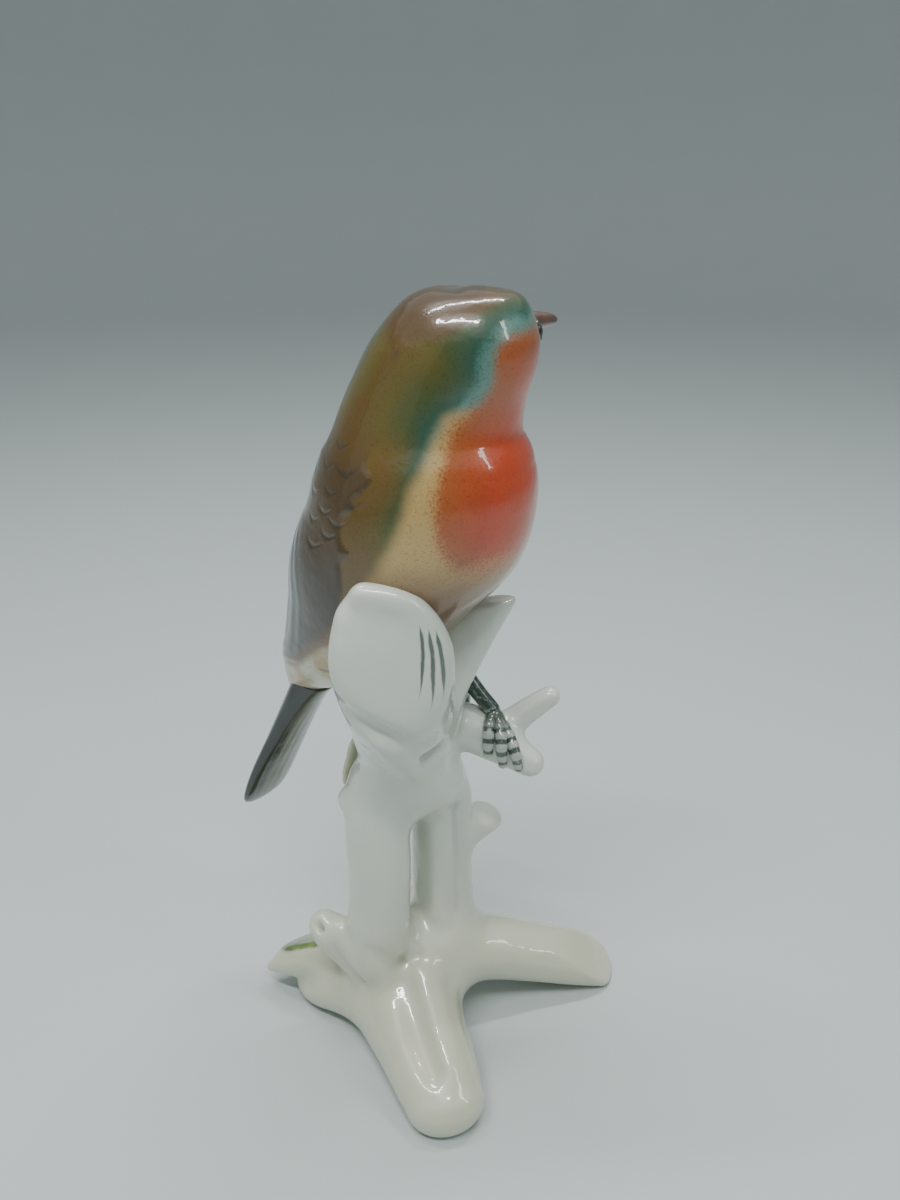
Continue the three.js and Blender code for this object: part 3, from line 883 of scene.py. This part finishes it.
VENT_EDGE = [(0, 90), (60, 89), (92, 88.5), (104, 84.5), (110, 81), (130, 79), (180, 77.5), (180, 66)]
CROWN_EDGE = [(0, 143.6), (100, 143.4), (120, 142.8), (136, 141.4), (146, 139.4), (165, 138.4), (180, 138)]

# Feather tips drawn on the wing: degrees from the breast, height, half width in mm.
FEATHER_MARKS = [
    (117, 118.4, 2.3), (124, 115.2, 1.8), (109, 114.2, 1.8), (126, 112, 1.7), (115, 110.8, 1.9),
    (119, 108.6, 1.8), (127, 106.2, 1.8), (134, 118.6, 2.0), (141, 114, 2.0), (135, 110, 1.8),
    (150, 117, 2.0), (156, 112.4, 2.0), (168, 115, 2.0), (146, 121.4, 1.8), (128, 121.8, 1.8)]
# Size, slant and darkness of the painted shade at the vent opening
SLIT_HALF_HEIGHT = 0.3
SLIT_SLOPE = 0.6
SLIT_DARKNESS = 1.6
VENT_HOLE_SHADE = (-77.0, 81.5, 2.4)  # painted shade: a dark line where an opening let hot air out


def body_axes():
    turn = math.radians(BODY_TURN)
    forward = np.array([math.cos(turn), -math.sin(turn), 0.0])
    left = np.array([math.sin(turn), math.cos(turn), 0.0])
    return forward, left


def bird_rings():
    """Rings of the bird's skin from crown to vent, and the angle of each point of a ring."""
    forward, left = body_axes()
    squared = [(x, z, radius**2) for x, z, radius in SPINE]
    x, z, squared = through(squared, sizes().skin_steps).T
    radius = np.sqrt(np.maximum(squared, POLE_RADIUS**2))
    centre = np.stack([x, -(x - BODY_PIVOT_X) * math.tan(math.radians(BODY_TURN)), z], axis=1)
    tangent = unit(np.gradient(centre, axis=0))
    tangent = unit(tangent + (DOWN - tangent) * RING_LEVEL)
    side = unit(left - (tangent @ left)[:, None] * tangent)
    front = np.cross(tangent, side)
    angle = np.linspace(math.pi, -math.pi, sizes().skin_sides, endpoint=False)
    rings = (
        centre[:, None]
        + front[:, None] * (np.cos(angle)[None, :, None] * radius[:, None, None])
        + side[:, None] * (np.sin(angle)[None, :, None] * radius[:, None, None] * BODY_SIDE))
    return rings, np.degrees(angle), radius


def painted_area(edge, away, height, rings, turn=0.0):
    """Distance in mm inside a painted area, the same on both sides of the bird.

    The area lies between its edge, a list of (degrees, height), and the line of zero or 180 degrees.
    """
    line = through(edge, 16)
    corner = edge[0][0]
    closed = np.vstack([line, [[corner, line[-1, 1]]]]) if edge[-1][0] != corner else line
    inside = np.zeros(height.shape, bool)
    for (a, low), (b, high) in zip(closed, np.roll(closed, -1, axis=0)):
        if low == high:
            continue
        spans = (low > height) != (high > height)
        inside ^= spans & (away < (b - a) * (height - low) / (high - low) + a)
    tree = kdtree.KDTree(len(line) * 2)
    sides = rings.shape[1]
    for side in (-1, 1):
        for index, (degrees, level) in enumerate(line):
            shift = turn if np.isscalar(turn) else float(np.interp(-level, -turn[:, 0], turn[:, 1]))
            column = (180 - (side * degrees + shift)) / 360 * sides
            first = int(math.floor(column))
            spots = []
            for near in (first, first + 1):
                strip = rings[:, near % sides]
                spots.append([np.interp(-level, -strip[:, 2], strip[:, axis]) for axis in range(3)])
            part = column - first
            spot = np.array(spots[0]) * (1 - part) + np.array(spots[1]) * part
            tree.insert(spot, index)
    tree.balance()
    points = rings.reshape(-1, 3)
    gaps = np.array([tree.find(point)[2] for point in points]).reshape(height.shape)
    return np.where(inside, gaps, -gaps)


def feather_marks(height, angle, girth):
    """Strength of the drawn feather tips, each a shallow upturned arc, and of the dark line of painted shade
    where the vent opening is.
    """
    total = np.zeros_like(height)
    for mark_angle, mark_height, half in FEATHER_MARKS:
        across = np.radians(np.abs(angle) - mark_angle) * girth / half
        rise = (height - mark_height) / half - 0.5 * across**2
        width = 0.2 * np.clip(1.25 - np.abs(across), 0, 1) + 0.03
        arc = np.exp(-((rise / width) ** 2)) * (1 - smooth_step(np.abs(across), 0.8, 1.3))
        total = np.maximum(total, arc)
    # The vent opening: a dark line of painted shade instead of a hole
    mark_angle, mark_height, half = VENT_HOLE_SHADE
    across = np.radians(angle - mark_angle) * girth / half
    hole_shade = np.exp(-(((height - mark_height) / SLIT_HALF_HEIGHT + across * SLIT_SLOPE) ** 2))
    hole_shade *= 1 - smooth_step(np.abs(across), 0.6, 1.1)
    return np.maximum(total, hole_shade * SLIT_DARKNESS)


def bird_paint(rings, angle, radius):
    """Named values that the plumage is painted by, most of them distances in mm over the skin."""
    height = rings[..., 2]
    angle = np.broadcast_to(angle[None, :], height.shape)
    girth = np.maximum(radius, 4)[:, None]
    away = np.abs(angle)
    levels = np.linspace(150, 70, 200)
    turn = np.stack([levels, BEAK_TURN * smooth_step(levels, 116, 133)], axis=1)
    turned = BEAK_TURN * smooth_step(height, 116, 133)
    from_beak = np.abs((angle - turned + 180) % 360 - 180)
    return {
        "red": painted_area(RED_EDGE, from_beak, height, rings, turn),
        "crown": height - graph(CROWN_EDGE, from_beak),
        "flank": painted_area(FLANK_EDGE, away, height, rings),
        "wing": painted_area([(180 - a, z) for a, z in WING_EDGE], 180 - away, height, rings, 180.0),
        "quill": painted_area([(180 - a, z) for a, z in QUILL_EDGE], 180 - away, height, rings, 180.0),
        "vent": painted_area(VENT_EDGE, away, height, rings),
        "marks": feather_marks(height, angle, girth),
    }


def feather_relief(rings, paint):
    """Height in mm of the folded wings and their feathers over the smooth body."""
    wing = smooth_step(paint["wing"], -0.3, 1.0) * sizes().feather_relief
    wing *= 1 - smooth_step(rings[..., 2], 116, 124)
    quill = smooth_step(paint["quill"], -1.0, 1.5)
    ribs = 0.04 * np.sin(paint["quill"] * 2.1)
    return wing - 0.07 * paint["marks"] + quill * ribs


class PORCELAIN_OT_bird(bpy.types.Operator):
    """Model the robin's head and body as one skin, parted at the neck, with its wings in relief"""
    bl_idname = "porcelain.bird"
    bl_label = "Bird"

    def execute(self, context):
        rings, angle, radius = bird_rings()
        paint = bird_paint(rings, angle, radius)
        normals = ring_normals(rings)
        rings = rings + normals * feather_relief(rings, paint)[..., None]
        normals = ring_normals(rings)
        neck = int(np.argmin(np.abs(rings[..., 2].mean(axis=1) - NECK_Z)))
        glaze = plumage()
        spans = {"head": slice(0, neck + 1), "torso": slice(neck, len(rings))}
        for node, span in spans.items():
            points, faces = loft(rings[span])
            hubs = len(points) - rings[span].shape[0] * rings[span].shape[1]
            ends = np.array([-DOWN, DOWN])
            own_normals = np.vstack([normals[span].reshape(-1, 3), ends[:hubs]])
            values = {key: np.append(value[span].reshape(-1), [value[span][0].mean(), value[span][-1].mean()])
                      for key, value in paint.items()}
            piece = make_mesh(f"glazed_{node}", points, faces, own_normals, values)
            settle(piece, glaze, "painted_plumage", node)
        return {"FINISHED"}


BEAK_ROOT = np.array([9.2, 8.2, 137.6])
BEAK_HEADING = 42.0  # degrees from +X towards +Y
BEAK_LENGTH = 11.4


def heading(degrees):
    turn = math.radians(degrees)
    return np.array([math.cos(turn), math.sin(turn), 0.0])


def tube(stations, across, sides, per_span, shape=None):
    """Rings of a tube through stations (x, y, z, radius across, radius the other way)."""
    line = through(stations, per_span)
    centre, radii = line[:, :3], line[:, 3:]
    tangent = unit(np.gradient(centre, axis=0))
    side = unit(across - (tangent @ across)[:, None] * tangent)
    other = np.cross(tangent, side)
    angle = np.linspace(0, 2 * math.pi, sides, endpoint=False)
    scale = np.ones((len(line), sides))
    if shape is not None:
        scale = shape(np.linspace(0, 1, len(line))[:, None], angle[None])
    return (
        centre[:, None]
        + side[:, None] * (np.cos(angle)[None, :, None] * radii[:, None, :1] * scale[..., None])
        + other[:, None] * (np.sin(angle)[None, :, None] * radii[:, None, 1:2] * scale[..., None]))


class PORCELAIN_OT_beak(bpy.types.Operator):
    """Model the beak with the line where it opens"""
    bl_idname = "porcelain.beak"
    bl_label = "Beak"

    def execute(self, context):
        way = heading(BEAK_HEADING)
        stations = []
        for part, drop, radius, deep in [
                (-0.3, 0.2, 2.0, 2.1), (0.1, 0.1, 1.9, 2.0), (0.45, 0.0, 1.5, 1.6),
                (0.75, 0.1, 1.1, 1.2), (0.93, 0.3, 0.75, 0.8), (1.0, 0.4, 0.25, 0.25)]:
            spot = BEAK_ROOT + way * part * BEAK_LENGTH
            stations.append((spot[0], spot[1], spot[2] - drop, radius, deep))

        def gape(along, angle):
            side = np.minimum(np.abs(angle - math.pi), np.minimum(angle, 2 * math.pi - angle))
            return 1 - 0.07 * np.exp(-(side / 0.16) ** 2) * (along < 0.92)

        rings = tube(stations, heading(BEAK_HEADING + 90), 48, 10, gape)
        points, faces = loft(rings)
        piece = make_mesh("glazed_beak", points, faces)
        recalculate_outward(piece)
        brown = colours().beak
        dark = tuple(value * 0.6 for value in brown)
        settle(piece, one_paint("painted_beak", dark, brown[:], 4), "painted_beak", "beak")
        return {"FINISHED"}


class PORCELAIN_OT_eyes(bpy.types.Operator):
    """Set a raised black eye with a thin lid on each side of the head"""
    bl_idname = "porcelain.eyes"
    bl_label = "Eyes"

    def execute(self, context):
        glaze = one_paint("painted_eye", rgb(14, 14, 14), rgb(26, 24, 22), 2, 0.1)
        head = bpy.data.objects["glazed_head"]
        for name, turn in (("right", -52.0), ("left", 52.0)):
            out = heading(BEAK_HEADING + turn)
            origin = Vector((np.array([2.0, 0.0, 138.2]) * MM + FOOT).tolist())
            hit, spot, normal, _ = head.ray_cast(origin, Vector(out.tolist()))
            if not hit:
                raise RuntimeError("the eye has no head to sit on")
            spot = (np.array(spot) - FOOT) / MM
            normal = np.array(normal)
            if normal @ out < 0:
                normal = -normal
            side = unit(np.cross(normal, [0, 0, 1.0]))
            up = np.cross(side, normal)
            profile = [(0.02, 0.62), (0.5, 0.56), (1.0, 0.34), (1.25, 0.05), (1.36, 0.12), (1.55, 0.14),
                       (1.72, 0.02), (1.8, -0.4)]
            angle = np.linspace(0, 2 * math.pi, 40, endpoint=False)
            rings = np.array([
                spot + normal * rise + side * (np.cos(angle)[:, None] * r) + up * (np.sin(angle)[:, None] * r)
                for r, rise in through(profile, 4)])
            points, faces = loft(rings)
            piece = make_mesh(f"glazed_eye_{name}", points, faces)
            recalculate_outward(piece)
            settle(piece, glaze, "painted_beak")
        return {"FINISHED"}


TAIL_STATIONS = [
    (-24.8, 7.9, 74.4, 4.6, 3.7), (-27.2, 9.1, 69.6, 5.0, 2.8),
    (-30.8, 11, 61.6, 5.6, 2.1), (-34.8, 12.7, 52.6, 6.2, 1.7), (-37.2, 13.6, 46.8, 6.0, 1.4),
    (-38.4, 14.0, 44.0, 5.2, 1.1), (-39.0, 14.3, 42.5, 3.4, 0.6)]
TAIL_TWIST = 22.0  # degrees the tail's width is turned from the body's side towards +X
TAIL_FEATHERS = 6


def tail_glaze():
    paint = Glaze("painted_tail")
    tone = colours()
    across = paint.attribute("across")
    top = paint.attribute("top")
    green = paint.mix(0.12, tone.sage[:], tone.quill[:])
    streak = paint.noise(2.4, detail=3.0, stretch=(1.0, 1.0, 0.12)).rise(0.48, 0.7)
    base = paint.mix(streak * 0.5, green, tone.tail[:])
    base = paint.mix(across.rise(0.6, 0.95), base, tone.quill[:])
    base = paint.mix((across + (streak - 0.5) * 0.2).rise(-0.3, -0.65), base, tone.tail[:])
    base = paint.mix((top + (streak - 0.5) * 0.15).rise(-0.62, -0.3), base, tone.tail[:])
    brown = paint.mix(across.rise(0.3, -0.4), tone.flank[:], tone.umber[:])
    base = paint.mix(paint.across("Z").rise(70, 77) * 0.8, base, brown)
    return paint.gloss(base, 0.3, paint.noise(6), 0.15)


class PORCELAIN_OT_tail(bpy.types.Operator):
    """Model the flat tail, with the faint edges of its feathers"""
    bl_idname = "porcelain.tail"
    bl_label = "Tail"

    def execute(self, context):
        _, left = body_axes()

        def feathers(along, angle):
            lateral = np.cos(angle)
            step = (lateral * TAIL_FEATHERS / 2) % 1.0
            thick = 1 + 0.04 * (step - 0.5) * np.abs(np.sin(angle)) * smooth_step(along, 0.1, 0.4)
            return thick

        twist = math.radians(TAIL_TWIST)
        wide = unit(left * math.cos(twist) + X_AXIS * math.sin(twist))
        rings = tube(TAIL_STATIONS, wide, 96, 14, feathers)
        angle = np.linspace(0, 2 * math.pi, 96, endpoint=False)
        lateral = np.broadcast_to(np.cos(angle)[None], rings.shape[:2])
        upper = np.broadcast_to(-np.sin(angle)[None], rings.shape[:2])
        points, faces = loft(rings)
        pad = [0.0, 0.0]
        values = {
            "across": np.append(lateral.reshape(-1), pad),
            "top": np.append(upper.reshape(-1), pad),
        }
        piece = make_mesh("glazed_tail", points, faces, None, values)
        settle(piece, tail_glaze(), "painted_tail", "tail")
        return {"FINISHED"}


# ---------------------------------------------------------------- legs and feet

RIGHT_ANKLE = (8, 1.2, 69.9, 1.5)
LEFT_ANKLE = (0, 5, 72.6, 1.5)
LEGS = {
    "leg_right": [[(-1, 4.6, 82.6, 2.4), (2.4, 4.4, 76.8, 1.8), (5.2, 3, 73.4, 1.5), (7.6, 1.6, 70.8, 1.5)]],
    "leg_left": [[(-5.6, 8, 85, 2.4), (-3.4, 8, 80, 1.8), (-1.6, 7, 76.4, 1.5), (-0.4, 5.6, 73.6, 1.5)]],
    "foot_right": [
        [RIGHT_ANKLE, (7, -1.6, 69.2, 1.1), (6.8, -3.3, 66.9, 1.1), (6.8, -3.4, 64.6, 0.9)],
        [RIGHT_ANKLE, (9, -2, 68.4, 1.1), (9.2, -3.9, 65.6, 1.1), (9.5, -3.9, 62.6, 0.85)],
        [RIGHT_ANKLE, (10.6, -1.6, 67.2, 1.1), (11.7, -3.7, 64.7, 1.1), (12.3, -4.1, 62, 0.85)],
        [RIGHT_ANKLE, (8, 3.8, 69.2, 1.1), (7.6, 5.6, 66.8, 0.8)]],
    "foot_left": [
        [LEFT_ANKLE, (-2, 7, 71.6, 1.1), (-2.6, 8, 68.6, 0.8)],
        [LEFT_ANKLE, (0.4, 7.4, 71, 1.1), (0.4, 8.2, 68.2, 0.8)],
        [LEFT_ANKLE, (2.6, 6.8, 70.4, 1.1), (3, 7.6, 67.6, 0.8)]],
}
SCUTE_PITCH = 1.9  # millimetres from one ring of a toe to the next


def leg_glaze(name, bands):
    paint = Glaze(name)
    tone = colours()
    along = paint.attribute("along")
    blot = paint.noise(1.6, detail=3.0)
    streak = paint.noise(0.8, detail=3.0)
    pale = paint.mix(0.4, tone.white[:], tone.ink[:])
    if bands:
        wave = (along + (blot - 0.5) * 0.5) * (2 * math.pi / SCUTE_PITCH)
        line = wave.math("COSINE").rise(-0.15, 0.7)
        rim = paint.attribute("rim").rise(0.35, 0.8)
        top = along.rise(5.5, 1.5)
        cover = line.math("MAXIMUM", rim).math("MAXIMUM", top) * streak.rise(0.2, 0.42)
        base = paint.mix(cover * 0.9, pale, tone.ink[:])
    else:
        base = paint.mix((blot + streak * 0.5).rise(0.75, 1.0) * 0.7, tone.ink[:], pale)
    return paint.gloss(base, 0.3, paint.noise(2), 0.08)


def sweep_tree(name, material):
    """Nodes that sweep a round section along curves, swelling it once for each scute."""
    tree = bpy.data.node_groups.new(name, "GeometryNodeTree")
    face = tree.interface
    face.new_socket("Geometry", in_out="INPUT", socket_type="NodeSocketGeometry")
    for label, value in (("Pitch", SCUTE_PITCH * MM), ("Swell", 0.1), ("Step", 0.2 * MM)):
        socket = face.new_socket(label, in_out="INPUT", socket_type="NodeSocketFloat")
        socket.default_value = value
    face.new_socket("Geometry", in_out="OUTPUT", socket_type="NodeSocketGeometry")
    nodes, links = tree.nodes, tree.links

    def add(kind, settings=None, inputs=None):
        node = nodes.new(kind)
        for key, setting in (settings or {}).items():
            setattr(node, key, setting)
        for key, value in (inputs or {}).items():
            if isinstance(value, bpy.types.NodeSocket):
                links.new(value, node.inputs[key])
            else:
                node.inputs[key].default_value = value
        return node

    def maths(operation, a, b=0.0):
        return add("ShaderNodeMath", {"operation": operation}, {0: a, 1: b}).outputs[0]

    source = add("NodeGroupInput").outputs
    resample = add("GeometryNodeResampleCurve", {"mode": "LENGTH"},
                   {"Curve": source["Geometry"], "Length": source["Step"]})
    radius = add("GeometryNodeInputRadius").outputs[0]
    parameter = add("GeometryNodeSplineParameter").outputs
    length = parameter["Length"]
    turn = maths("MULTIPLY", maths("DIVIDE", length, source["Pitch"]), 2 * math.pi)
    swell = maths("MULTIPLY", maths("COSINE", turn), source["Swell"])
    swollen = maths("MULTIPLY", radius, maths("SUBTRACT", 1.0, swell))
    sized = add("GeometryNodeSetCurveRadius", None, {"Curve": resample.outputs[0], "Radius": swollen})
    marked = add("GeometryNodeStoreNamedAttribute", {"data_type": "FLOAT", "domain": "POINT"},
                 {"Geometry": sized.outputs[0], "Name": "along", "Value": maths("DIVIDE", length, MM)})
    circle = add("GeometryNodeCurvePrimitiveCircle", None, {"Resolution": 20, "Radius": 1.0})
    profile = add("GeometryNodeStoreNamedAttribute", {"data_type": "FLOAT", "domain": "POINT"},
                  {"Geometry": circle.outputs[0], "Name": "around",
                   "Value": add("GeometryNodeSplineParameter").outputs["Factor"]})
    sweep = add("GeometryNodeCurveToMesh", None,
                {"Curve": marked.outputs[0], "Profile Curve": profile.outputs[0], "Fill Caps": True})
    if "Scale" in sweep.inputs:
        links.new(add("GeometryNodeInputRadius").outputs[0], sweep.inputs["Scale"])
    real = add("GeometryNodeRealizeInstances", None, {"Geometry": sweep.outputs[0]})
    glazed = add("GeometryNodeSetMaterial", None, {"Geometry": real.outputs[0], "Material": material})
    smooth = add("GeometryNodeSetShadeSmooth", None, {"Geometry": glazed.outputs[0]})
    add("NodeGroupOutput", None, {"Geometry": smooth.outputs[0]})
    return tree


def rounded(stations):
    """A limb's dense stations with its far end drawn in to a dome."""
    line = through(stations, 8)
    end, before = line[-1], line[-2]
    way = unit(end[:3] - before[:3])
    cap = [
        (*(end[:3] + way * end[3] * math.sin(a)), end[3] * max(math.cos(a), 0.05))
        for a in np.linspace(0, math.pi / 2, 7)[1:]]
    return np.vstack([line, cap])


def swept_piece(name, limbs, material, swell):
    curve = bpy.data.curves.new(name, "CURVE")
    curve.dimensions = "3D"
    for stations in limbs:
        line = rounded(stations)
        spline = curve.splines.new("POLY")
        spline.points.add(len(line) - 1)
        for point, (x, y, z, radius) in zip(spline.points, line):
            place = np.array([x, y, z]) * MM + FOOT
            point.co = (*place, 1)
            point.radius = radius * MM
    source = bpy.data.objects.new(f"{name}_path", curve)
    bpy.context.scene.collection.objects.link(source)
    tree = sweep_tree(f"{name}_sweep", material)
    modifier = source.modifiers.new("Sweep", "NODES")
    modifier.node_group = tree
    for item in tree.interface.items_tree:
        if item.name == "Swell":
            modifier[item.identifier] = swell
    evaluated = source.evaluated_get(bpy.context.evaluated_depsgraph_get())
    mesh = bpy.data.meshes.new_from_object(evaluated)
    mesh.name = name
    piece = bpy.data.objects.new(name, mesh)
    bpy.context.scene.collection.objects.link(piece)
    source.modifiers.remove(modifier)
    bpy.data.objects.remove(source)
    return piece


def mark_rim(piece):
    """Name how close each point of a toe lies to the branch that it grips, from 0 to 1."""
    flat = np.empty(len(piece.data.vertices) * 3)
    piece.data.vertices.foreach_get("co", flat)
    points = (flat.reshape(-1, 3) - FOOT) / MM
    clay = stump_clay()
    layer = piece.data.attributes.new("rim", "FLOAT", "POINT")
    layer.data.foreach_set("value", 1 - smooth_step(clay.sample(clay.field, points), 0.1, 1.3))


class PORCELAIN_OT_legs(bpy.types.Operator):
    """Sweep the legs and the ringed toes that grip the branch"""
    bl_idname = "porcelain.legs"
    bl_label = "Legs and Feet"

    def execute(self, context):
        leg = leg_glaze("painted_leg", False)
        toe = leg_glaze("painted_toe", True)
        for node, limbs in LEGS.items():
            is_leg = node.startswith("leg")
            glaze = leg if is_leg else toe
            piece = swept_piece(f"glazed_{node}", limbs, glaze, 0.0 if is_leg else 0.05)
            mark_rim(piece)
            settle(piece, glaze, "painted_leg", node)
        return {"FINISHED"}


# ---------------------------------------------------------------- leaves

def leaf_glaze():
    paint = Glaze("painted_leaf")
    tone = colours()
    face = paint.attribute("face")
    vein = paint.attribute("vein")
    cloud = paint.noise(3.0, detail=3.0)
    green = paint.mix(cloud.rise(0.3, 0.7), tone.leaf[:], rgb(104, 128, 92))
    rim = paint.attribute("rim").rise(0.6, 1.0)
    green = paint.mix(rim * 0.8, green, rgb(84, 108, 92))
    green = paint.mix(vein * 0.5, green, tone.ink[:])
    base = paint.mix(face.rise(0.1, 0.6) * (cloud * 0.4 + 0.7), tone.warm[:], green)
    return paint.gloss(base, 0.3, paint.noise(5), 0.1)


SIDE_VEINS = 7
VEIN_SLANT = 1.2
LEAVES = {
    "leaf_back": {
        "stations": [
            (-18.6, 1.4, 51, 0.6), (-18.9, 2.2, 54, 2.6), (-18.8, 3, 57, 3.5), (-17.4, 3.6, 63, 3.6),
            (-16.2, 3.5, 67, 2.0), (-15.4, 3.4, 70, 0.4)],
        "face": (-0.9, 0.3, 0.2), "thick": 1.3},
}


class PORCELAIN_OT_leaves(bpy.types.Operator):
    """Model the leaf on the stem, dished and veined, with a rounded underside"""
    bl_idname = "porcelain.leaves"
    bl_label = "Leaf on the Stem"

    def execute(self, context):
        glaze = leaf_glaze()
        for node, leaf in LEAVES.items():
            line = through(leaf["stations"], 10)
            centre, half = line[:, :3], np.maximum(line[:, 3], 0.15)
            tangent = unit(np.gradient(centre, axis=0))
            out = np.array(leaf["face"], float)
            out = unit(out - (tangent @ out)[:, None] * tangent)
            side = np.cross(tangent, out)
            angle = np.linspace(0, 2 * math.pi, 64, endpoint=False)
            u = np.cos(angle)[None]
            top = np.sin(angle)[None] > 0
            part = np.linspace(0, 1, len(line))[:, None]
            dish = 0.16 * (u**2) - 0.12
            between = (part * SIDE_VEINS - np.abs(u) * VEIN_SLANT) % 1 - 0.5
            vein = np.exp(-(u / 0.07) ** 2) + 0.7 * np.exp(-(between / 0.1) ** 2)
            vein = np.clip(vein, 0, 1) * top
            rise = np.where(top, (dish - 0.05 * vein) * half[:, None] + 0.1, 0)
            under = np.where(top, 0, np.sin(angle)[None] * leaf["thick"] * half[:, None] / half.max())
            lift = rise + under
            spread = side[:, None] * (u * half[:, None])[..., None]
            rings = centre[:, None] + spread + out[:, None] * lift[..., None]
            points, faces = loft(rings)
            pad = [0.0, 0.0]
            upper = np.broadcast_to(np.clip(np.sin(angle)[None] * 4, 0, 1), vein.shape)
            values = {
                "face": np.append(upper.reshape(-1), pad),
                "vein": np.append(vein.reshape(-1), pad),
                "rim": np.append(np.broadcast_to(np.abs(u), vein.shape).reshape(-1), pad),
            }
            piece = make_mesh(f"glazed_{node}", points, faces, None, values)
            recalculate_outward(piece)
            settle(piece, glaze, "painted_leaf", node)
        return {"FINISHED"}


# ---------------------------------------------------------------- stage

CAMERA_BACK = 144.0  # millimetres in front of the stump's foot
CAMERA_HEIGHT = 158.9
CAMERA_TILT = 24.5  # degrees below level
CAMERA_LENS = 27.9


def soft_lamp(name, place, target, size, power, tint=(1, 1, 1)):
    light = bpy.data.lights.new(name, "AREA")
    light.shape = "RECTANGLE"
    light.size, light.size_y = size
    light.energy = power
    light.color = tint
    lamp = bpy.data.objects.new(name, light)
    lamp.location = Vector(place)
    lamp.rotation_euler = (Vector(target) - Vector(place)).to_track_quat("-Z", "Y").to_euler()
    bpy.context.scene.collection.objects.link(lamp)


class PORCELAIN_OT_stage(bpy.types.Operator):
    """Lay a pale table that curves up into a backdrop, with strip and soft lamps and the camera"""
    bl_idname = "porcelain.stage"
    bl_label = "Stage"

    def execute(self, context):
        paint = Glaze("stage_paper")
        floor = colours().floor[:]
        shaded = tuple(value * 0.97 for value in floor)
        base = paint.mix(paint.noise(60, detail=2.0), shaded, floor)
        paint.feed(paint.shader.inputs["Base Color"], base)
        paint.shader.inputs["Roughness"].default_value = 0.7
        line = through([(0.5, 0), (400, 0), (900, 0), (1200, 30), (1380, 160), (1450, 420), (1470, 900)], 8)
        turn = np.linspace(0, 2 * math.pi, 96, endpoint=False)
        height = np.repeat(line[:, 1:], len(turn), axis=1)
        rings = np.stack([line[:, :1] * np.cos(turn), line[:, :1] * np.sin(turn), height], axis=-1)
        points, faces = loft(rings, closed_end=False)
        table = make_mesh("table", points, [face[::-1] for face in faces])
        table.data.materials.append(paint.material)

        world = bpy.data.worlds.new("tent")
        world.use_nodes = True
        world.node_tree.nodes["Background"].inputs[0].default_value = (0.93, 0.98, 1.0, 1)
        world.node_tree.nodes["Background"].inputs[1].default_value = 0.5
        bpy.context.scene.world = world
        middle = (FOOT + np.array([0, 0, 75 * MM])).tolist()
        soft_lamp("strip_front", (-0.06, -0.2, 0.52), middle, (0.36, 0.02), 1.7)
        soft_lamp("strip_rear", (-0.02, 0.1, 0.58), middle, (0.5, 0.03), 2.2)
        soft_lamp("left_soft", (-0.55, -0.3, 0.4), middle, (0.8, 0.8), 0.3)
        soft_lamp("right_soft", (0.5, -0.25, 0.45), middle, (0.05, 0.3), 0.45)

        camera = bpy.data.cameras.new("camera")
        camera.lens = CAMERA_LENS
        camera.sensor_width = 36.0
        camera.clip_start = 0.01
        viewer = bpy.data.objects.new("camera", camera)
        viewer.location = Vector((FOOT + np.array([0, -CAMERA_BACK, CAMERA_HEIGHT]) * MM).tolist())
        viewer.rotation_euler = (math.radians(90 - CAMERA_TILT), 0, 0)
        bpy.context.scene.collection.objects.link(viewer)
        bpy.context.scene.camera = viewer
        return {"FINISHED"}


# ---------------------------------------------------------------- panel and registration

OPERATORS = [
    PORCELAIN_OT_stage, PORCELAIN_OT_stump, PORCELAIN_OT_bird, PORCELAIN_OT_beak, PORCELAIN_OT_eyes,
    PORCELAIN_OT_tail, PORCELAIN_OT_legs, PORCELAIN_OT_leaves,
]


class PORCELAIN_PT_panel(bpy.types.Panel):
    """The figurine's sizes, colours and pieces"""
    bl_idname = "PORCELAIN_PT_panel"
    bl_label = "Porcelain Robin"
    bl_space_type = "VIEW_3D"
    bl_region_type = "UI"
    bl_category = "Porcelain"

    def draw(self, context):
        for group in (sizes(), colours()):
            box = self.layout.box()
            for name in group.bl_rna.properties.keys():
                if name not in {"rna_type", "name"}:
                    box.prop(group, name)
        for operator in OPERATORS:
            self.layout.operator(operator.bl_idname)


CLASSES = [PORCELAIN_PG_sizes, PORCELAIN_PG_colours, *OPERATORS, PORCELAIN_PT_panel]


def register():
    for cls in CLASSES:
        bpy.utils.register_class(cls)
    bpy.types.Scene.porcelain_sizes = PointerProperty(type=PORCELAIN_PG_sizes)
    bpy.types.Scene.porcelain_colours = PointerProperty(type=PORCELAIN_PG_colours)


def unregister():
    del bpy.types.Scene.porcelain_colours
    del bpy.types.Scene.porcelain_sizes
    for cls in reversed(CLASSES):
        bpy.utils.unregister_class(cls)


def main():
    register()
    for operator in OPERATORS:
        group, name = operator.bl_idname.split(".")
        getattr(getattr(bpy.ops, group), name)()
    bpy.context.view_layer.update()


if __name__ == "__main__":
    main()
